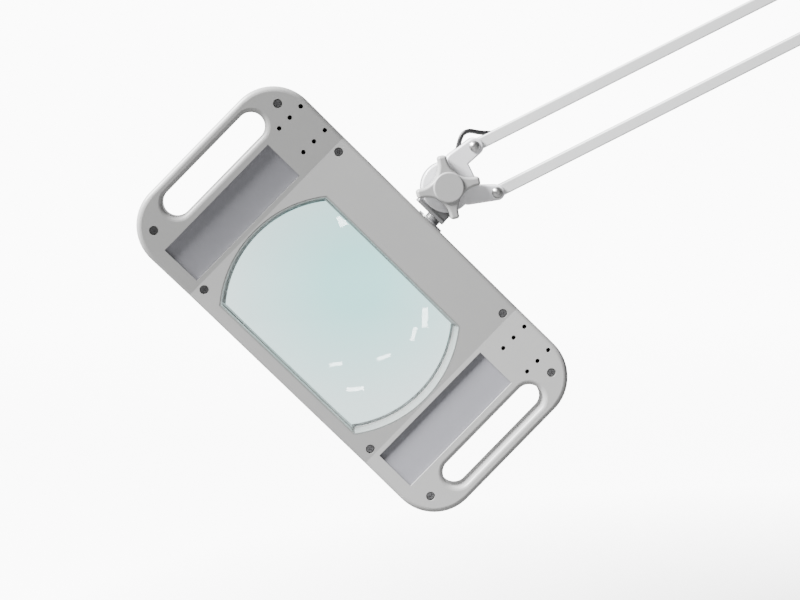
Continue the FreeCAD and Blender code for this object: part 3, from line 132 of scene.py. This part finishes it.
def camera():
    """A long lens in front of the head, a little to its left and above it."""
    data = bpy.data.cameras.new("photo_camera")
    data.lens = 85
    data.sensor_width = 36
    data.clip_end = 60
    eye = bpy.data.objects.new("photo_camera", data)
    level = math.cos(CAMERA_ELEVATION)
    back = Vector((math.sin(CAMERA_AZIMUTH) * level, -math.cos(CAMERA_AZIMUTH) * level,
                   math.sin(CAMERA_ELEVATION)))
    eye.location = TARGET + back * CAMERA_DISTANCE
    eye.rotation_euler = (-back).to_track_quat("-Z", "Y").to_euler()
    SCENE.collection.objects.link(eye)
    SCENE.camera = eye


# ---------------------------------------------------------------- material nodes

# Where a noise pattern's values lie, apart from rare extremes.
NOISE_RANGE = (0.3, 0.7)


class Material:
    """A Principled shader with helpers that add the fine structure of a real surface."""

    def __init__(self, name, color, roughness, metallic=0.0):
        self.data = bpy.data.materials.new(name)
        self.data.use_nodes = True
        self.nodes = self.data.node_tree.nodes
        self.links = self.data.node_tree.links
        self.shader = self.nodes["Principled BSDF"]
        self.set("Base Color", (*color, 1.0))
        self.set("Roughness", roughness)
        self.set("Metallic", metallic)
        self.color = color
        self.roughness = roughness
        self.place = self.nodes.new("ShaderNodeTexCoord").outputs["Object"]
        self.normal = None

    def set(self, socket, value):
        self.shader.inputs[socket].default_value = value
        return self

    def link(self, output, socket):
        self.links.new(output, socket)

    def noise(self, scale, detail=3.0, rough=0.55):
        texture = self.nodes.new("ShaderNodeTexNoise")
        texture.inputs["Scale"].default_value = scale
        texture.inputs["Detail"].default_value = detail
        texture.inputs["Roughness"].default_value = rough
        self.link(self.place, texture.inputs["Vector"])
        return texture.outputs["Fac"]

    def wave(self, scale, direction):
        texture = self.nodes.new("ShaderNodeTexWave")
        texture.bands_direction = direction
        texture.inputs["Scale"].default_value = scale
        self.link(self.place, texture.inputs["Vector"])
        return texture.outputs["Fac"]

    def distance(self, centre):
        """How far the surface lies from a place on the body at rest."""
        node = self.nodes.new("ShaderNodeVectorMath")
        node.operation = "DISTANCE"
        node.inputs[1].default_value = centre
        self.link(self.place, node.inputs[0])
        return node.outputs["Value"]

    def map_range(self, value, source, result):
        ramp = self.nodes.new("ShaderNodeMapRange")
        for socket, number in zip(("From Min", "From Max", "To Min", "To Max"), (*source, *result)):
            ramp.inputs[socket].default_value = number
        self.link(value, ramp.inputs["Value"])
        return ramp.outputs["Result"]

    def multiply_add(self, first, second, third):
        """first * second + third, where first and third are outputs and second may be a number."""
        node = self.nodes.new("ShaderNodeMath")
        node.operation = "MULTIPLY_ADD"
        self.link(first, node.inputs[0])
        if isinstance(second, float):
            node.inputs[1].default_value = second
        else:
            self.link(second, node.inputs[1])
        self.link(third, node.inputs[2])
        return node.outputs["Value"]

    def spread(self, value, low, high):
        """A noise pattern mapped to a range of numbers."""
        return self.map_range(value, NOISE_RANGE, (low, high))

    def tint(self, value, amount, other=None):
        """Colour that varies from the base towards a darker or another tone."""
        mix = self.nodes.new("ShaderNodeMix")
        mix.data_type = "RGBA"
        dark = other or tuple(channel * (1 - amount) for channel in self.color)
        mix.inputs["A"].default_value = (*self.color, 1.0)
        mix.inputs["B"].default_value = (*dark, 1.0)
        self.link(self.spread(value, 0.0, 1.0), mix.inputs["Factor"])
        self.link(mix.outputs["Result"], self.shader.inputs["Base Color"])
        return self

    def gloss(self, value, low, high):
        self.link(self.spread(value, low, high), self.shader.inputs["Roughness"])
        return self

    def bump(self, value, height):
        """A bump of the given height in metres, added to the bumps before it."""
        node = self.nodes.new("ShaderNodeBump")
        node.inputs["Distance"].default_value = height
        node.inputs["Strength"].default_value = 1.0
        self.link(value, node.inputs["Height"])
        if self.normal:
            self.link(self.normal, node.inputs["Normal"])
        self.normal = node.outputs["Normal"]
        self.link(self.normal, self.shader.inputs["Normal"])
        return self


def moulded(name, color, roughness, grain=0.000012):
    """Moulded plastic: a fine spark texture, faint flow marks and slightly uneven gloss."""
    made = Material(name, color, roughness)
    made.tint(made.noise(9, 4), 0.035)
    made.gloss(made.noise(60, 3), roughness - 0.03, roughness + 0.04)
    made.bump(made.noise(1900, 2, 0.6), grain)
    made.bump(made.noise(35, 2), grain * 3)
    return made


def painted(name, color, roughness=0.28):
    """Gloss paint on metal: faint orange peel under a clear coat."""
    made = Material(name, color, roughness)
    made.tint(made.noise(14, 4), 0.03)
    made.gloss(made.noise(90, 3), roughness - 0.04, roughness + 0.05)
    made.bump(made.noise(420, 2, 0.5), 0.000012)
    made.set("Coat Weight", 0.35)
    made.set("Coat Roughness", 0.12)
    return made


def metal(name, color, roughness):
    """Bare or plated metal with fine tool marks and handling haze."""
    made = Material(name, color, roughness, metallic=1.0)
    made.tint(made.noise(120, 4), 0.10)
    made.gloss(made.noise(260, 4), roughness - 0.06, roughness + 0.10)
    made.bump(made.noise(2600, 3, 0.6), 0.000003)
    return made


def rubber(name, color, roughness, grain=0.00001):
    """Satin rubber: a fine grain and a slightly blotchy surface."""
    made = Material(name, color, roughness)
    made.tint(made.noise(40, 4), 0.25)
    made.gloss(made.noise(150, 3), roughness - 0.05, roughness + 0.08)
    made.bump(made.noise(1500, 3, 0.6), grain)
    return made


def make_materials():
    """One material for each of the record's slots."""
    made = {}
    made["shell"] = moulded("shell_plastic", (0.325, 0.325, 0.322), 0.40)
    made["bezel"] = moulded("bezel_plastic", (0.235, 0.25, 0.244), 0.18, 0.000004)
    made["casting"] = painted("casting_paint", (0.86, 0.86, 0.885), 0.30)
    made["arm_paint"] = painted("arm_paint", (0.80, 0.81, 0.81), 0.24)
    made["clamp_paint"] = painted("clamp_paint", (0.70, 0.71, 0.71), 0.30)
    made["knob"] = moulded("knob_plastic", (0.345, 0.345, 0.345), 0.38, 0.000008)
    made["dark_metal"] = painted("dark_yoke_metal", (0.19, 0.19, 0.195), 0.36)
    made["screw_steel"] = metal("zinc_steel", (0.56, 0.56, 0.55), 0.30)
    made["pivot_steel"] = metal("bright_steel", (0.50, 0.50, 0.50), 0.32)
    made["spring_steel"] = metal("spring_wire", (0.58, 0.58, 0.57), 0.24)
    made["brass_insert"] = metal("turned_brass", (0.66, 0.48, 0.20), 0.3)
    made["nylon"] = moulded("nylon", (0.78, 0.78, 0.74), 0.45)
    made["pad_rubber"] = rubber("clamp_rubber", (0.022, 0.022, 0.023), 0.62)
    made["gasket"] = rubber("gasket_rubber", (0.45, 0.46, 0.45), 0.6)
    made["cord"] = rubber("cord_jacket", (0.008, 0.008, 0.009), 0.38, 0.000006)
    made["adapter"] = moulded("adapter_plastic", (0.014, 0.014, 0.015), 0.42, 0.00003)
    made["switch_black"] = moulded("switch_plastic", (0.012, 0.012, 0.013), 0.28, 0.000006)
    made["components"] = moulded("component_case", (0.03, 0.03, 0.035), 0.5)
    made["board"] = board_material()
    made["led"] = led_material()
    made["diffuser"] = diffuser_material()
    made["lens"] = lens_material()
    return {name: item.data for name, item in made.items()}


def board_material():
    """White solder mask with fine copper tracks that show through it."""
    made = Material("solder_mask", (0.78, 0.80, 0.78), 0.35)
    made.tint(made.wave(180, "X"), 0.12)
    made.gloss(made.noise(300, 2), 0.3, 0.42)
    made.bump(made.wave(180, "X"), 0.00002)
    return made


def led_material():
    """A yellow phosphor square in a clear lens."""
    made = Material("phosphor", (0.86, 0.70, 0.22), 0.3)
    made.tint(made.noise(1800, 2), 0.25)
    made.gloss(made.noise(900, 2), 0.22, 0.36)
    made.bump(made.noise(900, 2), 0.00002)
    return made


def diffuser_material():
    """Frosted opal acrylic: a fine matt grain and a little light scattered inside."""
    made = Material("opal_diffuser", (0.235, 0.235, 0.26), 0.5)
    made.tint(made.noise(20, 3), 0.05)
    made.gloss(made.noise(500, 3), 0.44, 0.58)
    made.bump(made.noise(1300, 3, 0.6), 0.00003)
    made.set("Subsurface Weight", 0.15)
    made.set("Subsurface Radius", (0.003, 0.003, 0.003))
    return made


def lens_material():
    """Clear optical glass with a clean polish: its faint green is deepest within 25 mm of a point 29 mm from the
    lens's axis towards the neck, and fades to nearly clear 105 mm from it.
    """
    made = Material("optical_glass", (0.55, 0.957, 0.94), 0.0)
    made.set("Transmission Weight", 1.0)
    made.set("IOR", 1.49)
    green_fade = made.map_range(made.distance(HEAD.at(-10, 12)), (0.025, 0.105), NOISE_RANGE)
    made.tint(green_fade, 0.0, (0.93, 0.99, 1.0))
    made.gloss(made.noise(25, 3), 0.0, 0.012)
    return made


def paint_nodes(materials):
    """Every CAD node takes the finish of its slot in the record; the case screws take a dark steel instead,
    painted shade for the recesses they sit in.
    """
    slots = {item["node"]: item["material_slot"] for item in frame["record"]["subparts"]}
    for name, node in NODES.items():
        node.data.materials.clear()
        node.data.materials.append(materials[slots[name]])
    # The case screws' dark steel is painted shade: it stands for the shade in their recesses.
    NODES["case_screws"].data.materials[0] = metal("dark_screw_steel_painted_shade", (0.15, 0.15, 0.155), 0.34).data


# ---------------------------------------------------------------- mesh helpers

def mesh_piece(name, verts, faces, material, sharp):
    """A mesh object with smooth faces that break at edges over a number of degrees."""
    data = bpy.data.meshes.new(name)
    data.from_pydata([tuple(v) for v in verts], [], faces)
    data.validate()
    shaped = bmesh.new()
    shaped.from_mesh(data)
    bmesh.ops.recalc_face_normals(shaped, faces=shaped.faces)
    for face in shaped.faces:
        face.smooth = True
    for edge in shaped.edges:
        edge.smooth = edge.calc_face_angle(0.0) < math.radians(sharp)
    shaped.to_mesh(data)
    shaped.free()
    data.materials.append(material)
    made = bpy.data.objects.new(name, data)
    SCENE.collection.objects.link(made)
    return made


def sweep(path, radius, sides):
    """Vertices and faces of a closed tube along a path."""
    count = len(path)
    verts = []
    tangents = []
    for index in range(count):
        before = path[max(index - 1, 0)]
        after = path[min(index + 1, count - 1)]
        tangents.append((after - before).normalized())
    side = tangents[0].orthogonal().normalized()
    for index, tangent in enumerate(tangents):
        side = (side - tangent * side.dot(tangent)).normalized()
        other = tangent.cross(side)
        for step in range(sides):
            angle = 2 * math.pi * step / sides
            out = side * math.cos(angle) + other * math.sin(angle)
            verts.append(path[index] + out * radius)
    faces = []
    for index in range(count - 1):
        for step in range(sides):
            after = (step + 1) % sides
            low = index * sides
            faces.append((low + step, low + after, low + sides + after, low + sides + step))
    faces.append(tuple(range(sides))[::-1])
    faces.append(tuple((count - 1) * sides + step for step in range(sides)))
    return verts, faces


def nurbs(name, points):
    """A smooth curve object of order 3 through the route's control points."""
    data = bpy.data.curves.new(name, "CURVE")
    data.dimensions = "3D"
    data.resolution_u = 10
    spline = data.splines.new("NURBS")
    spline.points.add(len(points) - 1)
    for control, point in zip(spline.points, points):
        control.co = (*point, 1.0)
    spline.order_u = 3
    spline.use_endpoint_u = True
    made = bpy.data.objects.new(name, data)
    SCENE.collection.objects.link(made)
    return made


# Points of a route nearer than this to the one before are left out.
CLOSE = mm(0.4)


def route_points(name, points):
    """The points that a route's spline passes through, read from the curve itself."""
    curve = nurbs(name, points)
    bpy.context.view_layer.update()
    graph = bpy.context.evaluated_depsgraph_get()
    line = bpy.data.meshes.new_from_object(curve.evaluated_get(graph))
    read = [vertex.co.copy() for vertex in line.vertices]
    bpy.data.meshes.remove(line)
    data = curve.data
    bpy.data.objects.remove(curve)
    bpy.data.curves.remove(data)
    thinned = [read[0]]
    for point in read[1:]:
        if (point - thinned[-1]).length > CLOSE:
            thinned.append(point)
    return thinned


def nearest(path, place):
    """The number of the path's point nearest to a place."""
    return min(range(len(path)), key=lambda index: (path[index] - place).length)


# ---------------------------------------------------------------- lens

def lens(materials):
    """The double-convex lens as a finely graded mesh with a chamfered, ground edge."""
    centre_y, plane, edge, curve, reach = -17.0, -6.5, 3.0, 800.0, 98.0
    top, bottom = 45.5, -79.5
    chamfer = 0.4
    high = math.asin((top - centre_y) / reach)
    low = math.asin((bottom - centre_y) / reach)
    angles = []
    corners = (low, high, math.pi - high, math.pi - low, 2 * math.pi + low)
    for start, finish, count in zip(corners, corners[1:], (90, 60, 90, 70)):
        angles += [start + (finish - start) * step / count for step in range(count)]

    def outline(angle):
        """How far the rim lies from the centre: an arc, cut off flat above and below."""
        size = reach
        if math.sin(angle) > 0:
            size = min(size, (top - centre_y) / math.sin(angle))
        if math.sin(angle) < 0:
            size = min(size, (bottom - centre_y) / math.sin(angle))
        return size

    def dome(distance):
        """Half the lens's thickness at a distance from the centre."""
        return edge / 2 + math.sqrt(curve ** 2 - distance ** 2) - math.sqrt(curve ** 2 - reach ** 2)

    def place(distance, angle, height):
        """A point at a distance and angle from the lens's axis, and a height off its middle plane."""
        along, across = distance * math.cos(angle), centre_y + distance * math.sin(angle)
        return HEAD.at(along, across, plane + height)

    rings = 26
    count = len(angles)
    verts = []
    rows = []
    for side in (1, -1):
        centre = len(verts)
        verts.append(HEAD.at(0, centre_y, plane + side * dome(0)))
        first = len(verts)
        for ring in range(1, rings + 1):
            for angle in angles:
                distance = (outline(angle) - chamfer) * ring / rings
                verts.append(place(distance, angle, side * dome(distance)))
        last = len(verts)
        for angle in angles:
            distance = outline(angle)
            verts.append(place(distance, angle, side * (dome(distance) - chamfer)))
        rows.append((centre, first, last))
    faces = []
    for centre, first, last in rows:
        for step in range(count):
            after = (step + 1) % count
            faces.append((centre, first + step, first + after))
            for ring in range(rings):
                low_row = first + ring * count
                high_row = low_row + count
                faces.append((low_row + step, high_row + step, high_row + after, low_row + after))
    front, back = rows[0][2], rows[1][2]
    for step in range(count):
        after = (step + 1) % count
        faces.append((front + step, back + step, back + after, front + after))
    made = mesh_piece("lens_glass", verts, faces, materials["lens"], 25)
    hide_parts("lens")
    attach(made, "head")


# ---------------------------------------------------------------- threads

def turned_thread(name, origin, axis, profile, thread, pitch, depth, material):
    """A piece turned from (height, radius) steps, with a helical groove between two heights."""
    across = axis.orthogonal().normalized()
    other = axis.cross(across)
    sides, rows_per_turn, touch = 48, 8, 1e-6
    heights = []
    for (low, low_radius), (high, high_radius) in zip(profile, profile[1:]):
        inside = low >= thread[0] - touch and high <= thread[1] + touch
        count = max(1, int((high - low) / pitch * rows_per_turn)) if inside else 1
        for step in range(count):
            share = step / count
            radius = low_radius + (high_radius - low_radius) * share
            heights.append((low + (high - low) * share, radius, inside and 0 < step))
    heights.append((*profile[-1], False))
    verts = []
    for height, radius, cut in heights:
        for step in range(sides):
            turn = step / sides
            phase = (height / pitch - turn) % 1.0
            groove = depth * max(0.0, 1 - abs(phase - 0.5) * 4) if cut else 0.0
            angle = 2 * math.pi * turn
            out = across * math.cos(angle) + other * math.sin(angle)
            verts.append(origin + axis * mm(height) + out * mm(radius - groove))
    faces = []
    for row in range(len(heights) - 1):
        for step in range(sides):
            after = (step + 1) % sides
            low_row, high_row = row * sides, (row + 1) * sides
            faces.append((low_row + step, low_row + after, high_row + after, high_row + step))
    faces.append(tuple(range(sides))[::-1])
    faces.append(tuple((len(heights) - 1) * sides + step for step in range(sides)))
    return mesh_piece(name, verts, faces, material, 35)


def threads(materials):
    """The clamp screw with its trapezoidal thread, and the threaded stub of the neck."""
    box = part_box("clamp_screw")
    length = (box[1].z - box[0].z) * 1000
    head, knuckle, tip, crest, relief, seat = 16.0, 7.5, 7.0, 5.0, 4.3, 4.0
    thread = (head + 2.6, length - tip - 0.6)
    profile = [(0, knuckle - 1), (1, knuckle), (head - 1, knuckle), (head, knuckle - 1),
               (head, relief), (head + 2, relief), (thread[0], crest), (thread[1], crest),
               (length - tip, seat), (length - 0.4, seat), (length, seat - 0.4)]
    made = turned_thread("clamp_screw_thread", Vector((0, 0, box[0].z)), Vector((0, 0, 1)), profile,
                         thread, 2.0, 0.9, materials["screw_steel"])
    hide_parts("clamp_screw")
    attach(made, "screw")
    crest, spigot, thread = 6.75, 3.5, (83, NECK_HEIGHT)
    profile = [(thread[0], crest), (thread[1], crest), (97.3, 6.3), (97.4, spigot), (106, spigot)]
    made = turned_thread("neck_stub_thread", HEAD.origin, HEAD.y, profile, thread, 1.25, 0.6,
                         materials["dark_metal"])
    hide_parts("neck_stud")
    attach(made, "head")


# ---------------------------------------------------------------- springs

def spring(name, start, finish, side, plane, materials):
    """A close-wound tension spring with a hook round a pin at each end, beside an arm."""
    wire, coil, pitch, steps = 0.55, 3.4, 1.45, 14
    hook_radius, hook_steps, hook_from, hook_step = 1.75, 13, -150, 25
    body_start, taper = 13.0, 0.25
    first = plane.at(*start, side)
    last = plane.at(*finish, side)
    along = (last - first).normalized()
    out = plane.z
    across = along.cross(out).normalized()
    length = (last - first).length * 1000
    turns = int((length - 2 * body_start) / pitch)

    def hook(pin, way):
        """Round the pin, from its far side back to the near side, then along the axis."""
        ring = []
        for step in range(hook_steps):
            angle = math.radians(hook_from + hook_step * step)
            ring.append(pin + (-way * math.cos(angle) + across * math.sin(angle)) * mm(hook_radius))
        return ring + [pin + way * mm(place) for place in (3.4, 7, body_start - 2.2)]

    path = hook(first, along)
    for step in range(turns * steps + 1):
        angle = 2 * math.pi * step / steps
        grow = min(1.0, step / steps, (turns * steps - step) / steps)
        radius = mm(coil) * max(taper, grow)
        centre = first + along * mm(body_start + pitch * step / steps)
        path.append(centre + (across * math.cos(angle) + out * math.sin(angle)) * radius)
    path += hook(last, -along)[::-1]
    verts, faces = sweep(path, mm(wire), 8)
    made = mesh_piece(name, verts, faces, materials["spring_steel"], 50)
    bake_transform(made)
    return made


def springs(materials):
    """Two balance springs beside each arm, from a pin on the level bracket to a pin on the tube."""
    lever, upper_reach, lower_reach, offset, side = 13.0, 105.0, 130.0, 2.8, 16.0
    far = HEAD_PIVOT + SPAN
    for sign, word in ((1, "front"), (-1, "back")):
        spring("upper_spring_" + word, (far, UPPER_TOP - lever),
                            (far - upper_reach, UPPER_TOP - offset),
                            sign * side, ARM, materials)
        spring("lower_spring_" + word, (0, LOWER_OUTER + lever),
                            (lower_reach, LOWER_OUTER + offset),
                            sign * side, LOWER, materials)
    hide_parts("upper_springs")
    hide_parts("lower_springs")


# ---------------------------------------------------------------- built-in cables

def cable_piece(name, path, materials, bodies):
    """A stretch of cable that rides on one body, or that spans two and is baked in place, attached to neither."""
    verts, faces = sweep(path, mm(CORD_RADIUS), 20)
    made = mesh_piece(name, verts, faces, materials["cord"], 50)
    if len(bodies) == 2:
        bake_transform(made)
    else:
        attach(made, bodies[0])
    return made


def cables(materials):
    """The cable from the bracket to the base, cut where it passes from one body to the next."""
    far = HEAD_PIVOT + SPAN
    top = UPPER_TOP
    upper = [ARM.at(*p) for p in (
        (18.4, 17.6), (28.2, 32), (37.2, 34.8), (46, 27.6), (60, top + 0.5), (94, top + 0.9),
        (150, top + 0.5), (210, top + 0.8), (270, top + 0.5), (330, top + 0.8),
        (far - 90, top + 0.5), (far - 64, top + 1.8), (far - 42, top + 10))]
    upper += [ELBOW.at(*p) for p in (
        (-34, 25), (-14, 36), (6, 35), (20, 18), (28, 0), (40, -4), (46, -4))]
    path = route_points("upper_route", upper)
    slot_in = nearest(path, ARM.at(64, top + 0.5))
    slot_out = nearest(path, ARM.at(far - 66, top + 2))
    head_loop = cable_piece("cable_head_loop", path[:slot_in + 1], materials, ("bracket", "upper_top"))
    cable_piece("cable_upper_run", path[slot_in:slot_out + 1], materials, ("upper_top",))
    cable_piece("cable_elbow_in", path[slot_out:], materials, ("upper_top", "elbow"))
    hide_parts("cable_upper")
    outer = LOWER_OUTER
    lower = [ELBOW.at(*p) for p in ((46, -4), (57, -4), (76, -8), (90, -23), (93, -44))]
    lower += [LOWER.at(*p) for p in (
        (SPAN - 32, outer - 8.4), (SPAN - 52, outer - 1.6), (SPAN - 84, outer - 0.5),
        (300, outer - 0.9), (240, outer - 0.5), (180, outer - 0.9), (120, outer - 0.5),
        (84, outer - 0.9), (58, outer - 2), (36, outer - 9.5))]
    lower += [BASE.at(*p) for p in ((45, 12), (50, -4), (42, -15.2), (27, -16), (12, -16))]
    path = route_points("lower_route", lower)
    slot_in = nearest(path, LOWER.at(SPAN - 56, outer - 1.4))
    slot_out = nearest(path, LOWER.at(62, outer - 1.8))
    elbow_out = cable_piece("cable_elbow_out", path[:slot_in + 1], materials, ("elbow", "lower_outer"))
    cable_piece("cable_lower_run", path[slot_in:slot_out + 1], materials, ("lower_outer",))
    cable_piece("cable_base_loop", path[slot_out:], materials, ("lower_outer", "base"))
    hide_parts("cable_lower")


# ---------------------------------------------------------------- free cord

def free_cord(materials):
    """The lead from the base gland, its round coil of two layers, and the tail into the adapter."""
    ground = FLOOR * 1000 + CORD_RADIUS
    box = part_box("cord_coil")
    coil_x = (box[0].x + box[1].x) * 500
    outer = (box[1].x - box[0].x) * 500
    clear = 0.2
    side = -(outer + CORD_RADIUS + clear)
    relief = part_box("adapter_case")[0].x * 1000
    adapter_side, relief_level = 15, 2.6
    relief_y = side + adapter_side
    relief_z = ground + relief_level
    lead = [(43, 0, 50), (62, -1, 48), (78, -6, 32), (82, -12, -4), (78, -20, -50),
            (76, -27, -96), (80, -33, -134), (92, side, ground), (coil_x - 3, side, ground)]
    around, turns, step_in, climb = 16, 4, 4.15, 4
    rim = outer - CORD_RADIUS + clear
    coil = []
    for index in range(2, 2 * turns * around + 1):
        angle = -math.pi / 2 + 2 * math.pi * index / around
        depth = turns - abs(turns - index / around)
        radius = rim - step_in * depth
        rise = 2 * CORD_RADIUS * min(1.0, max(0.0, (index - turns * around) / climb))
        coil.append((coil_x + radius * math.cos(angle), radius * math.sin(angle), ground + rise))
    tail = [(coil_x + 12, 2 - rim, ground + 3.8), (coil_x + 24, side + 6, relief_z + 0.8),
            (coil_x + 33, relief_y - 3, relief_z), (relief - 4, relief_y, relief_z),
            (relief + 5, relief_y, relief_z)]
    path = route_points("cord_route", [mm(*point) for point in lead + coil + tail])
    verts, faces = sweep(path, mm(CORD_RADIUS), 14)
    made = mesh_piece("free_cord", verts, faces, materials["cord"], 50)
    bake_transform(made)
    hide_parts("cord_lead", "cord_coil", "cord_tail")


# ---------------------------------------------------------------- studio

# How brightly the background shows, far from the lamp.
BACKGROUND = 9.5


def backdrop():
    """A pale seamless floor that curves up far behind the lamp, and glows more away from it; the dimmer glow round
    the clamp, seen only by the camera, is a painted pool of shade.
    """
    reach, front, depth, radius, height, steps = 6.0, -4.5, 3.2, 1.6, 4.0, 16
    outline = [(front, 0.0)]
    for step in range(steps + 1):
        angle = math.pi / 2 * step / steps
        outline.append((depth + radius * math.sin(angle), radius * (1 - math.cos(angle))))
    outline.append((depth + radius, height))
    verts = []
    for y, z in outline:
        verts += [Vector((-reach, y, FLOOR + z)), Vector((reach, y, FLOOR + z))]
    faces = [(2 * row, 2 * row + 1, 2 * row + 3, 2 * row + 2) for row in range(len(outline) - 1)]
    data = bpy.data.meshes.new("studio_sweep")
    data.from_pydata([tuple(v) for v in verts], [], faces)
    for polygon in data.polygons:
        polygon.use_smooth = True
    white = Material("studio_white", (0.16, 0.16, 0.16), 0.85)
    white.tint(white.noise(2, 2), 0.01)
    rays = white.nodes.new("ShaderNodeLightPath")
    shade = white.nodes.new("ShaderNodeMix")
    shade.data_type = "RGBA"
    shade.inputs["A"].default_value = (1.0, 1.0, 1.0, 1.0)
    shade.inputs["B"].default_value = (0.82, 1.0, 0.985, 1.0)
    white.link(rays.outputs["Is Transmission Ray"], shade.inputs["Factor"])
    white.link(shade.outputs["Result"], white.shader.inputs["Emission Color"])
    # Seen by the camera, the floor glows far less within about 0.2 m of the clamp and brightens out to 1.05 m: a
    # painted pool of shade round the lamp's foot.
    glow_with_painted_shade_pool = white.map_range(white.distance((0, 0, 0)), (0.2, 1.05), (1.6, BACKGROUND))
    apart = white.nodes.new("ShaderNodeSeparateXYZ")
    white.link(white.place, apart.inputs[0])
    back = white.map_range(apart.outputs["Y"], (1.5, depth), (0.0, 1.3))
    seen = white.multiply_add(rays.outputs["Is Camera Ray"], glow_with_painted_shade_pool, back)
    through = white.multiply_add(rays.outputs["Is Transmission Ray"], 0.5, seen)
    white.link(through, white.shader.inputs["Emission Strength"])
    data.materials.append(white.data)
    sweep_object = bpy.data.objects.new("studio_sweep", data)
    SCENE.collection.objects.link(sweep_object)


def area_light(name, place, towards, size, power):
    data = bpy.data.lights.new(name, "AREA")
    data.shape = "RECTANGLE"
    data.size, data.size_y = size
    data.energy = power
    made = bpy.data.objects.new(name, data)
    made.location = place
    made.rotation_euler = (Vector(towards) - Vector(place)).to_track_quat("-Z", "Y").to_euler()
    made.visible_camera = False
    SCENE.collection.objects.link(made)
    return made


def studio():
    """A pale world, a soft key from the head's upper left that grazes its face, and a weak fill."""
    world = bpy.data.worlds.new("studio_air")
    world.use_nodes = True
    air = world.node_tree
    shader = air.nodes["Background"]
    shader.inputs["Color"].default_value = (1, 1, 1, 1)
    rays = air.nodes.new("ShaderNodeLightPath")
    total = None
    for ray, strength in (("Is Camera Ray", BACKGROUND), ("Is Transmission Ray", 1.5)):
        level = air.nodes.new("ShaderNodeMath")
        level.operation = "MULTIPLY_ADD"
        level.inputs[1].default_value = strength
        level.inputs[2].default_value = 0.10
        air.links.new(rays.outputs[ray], level.inputs[0])
        if total:
            air.links.new(total, level.inputs[2])
        total = level.outputs["Value"]
    air.links.new(total, shader.inputs["Strength"])
    SCENE.world = world
    middle = HEAD.origin
    grazing = math.radians(79)
    away = -HEAD.x * math.sin(grazing) + HEAD.z * math.cos(grazing)
    area_light("key", middle + away * 2.9, middle, (1.1, 1.1), 720)
    area_light("fill", middle + Vector((1.4, -2.6, 0.8)), middle, (2.2, 2.2), 5)
    window_reflections()


def window_reflections():
    """Small bright lights that the lens's front face mirrors as highlights."""
    middle = HEAD.at(0, -17, -4)
    mirrored = Vector((0.087, -0.991, -0.096))
    mirror_power = 2.5
    # Each highlight's place on the lens in mm; its light's distance, width, height, power and roll.
    places = ((-57, 53.6, 2.3, 0.115, 0.075, 1.5, 20), (52, 42, 1.6, 0.03, 0.10, 0.5, 0),
              (54.6, 25, 1.6, 0.02, 0.07, 0.24, -15), (49.7, -7.2, 1.2, 0.052, 0.014, 0.13, 20),
              (23.8, -39.5, 1.0, 0.042, 0.012, 0.09, 10), (53, -44.2, 0.8, 0.05, 0.011, 0.10, 5))
    for number, (along, across, far, wide, tall, power, roll) in enumerate(places):
        lever = 1 / (mirror_power + 1 / CAMERA_DISTANCE + 1 / far)
        toward = (mirrored + (mm(along) * HEAD.x + mm(across) * HEAD.y) / lever).normalized()
        light = area_light("window_%d" % number, middle + toward * far, middle, (wide, tall), power)
        light.rotation_euler.rotate_axis("Z", math.radians(roll))
        light.visible_transmission = False


# ---------------------------------------------------------------- build

camera()
MATERIALS = make_materials()
paint_nodes(MATERIALS)
lens(MATERIALS)
threads(MATERIALS)
springs(MATERIALS)
cables(MATERIALS)
free_cord(MATERIALS)
backdrop()
studio()
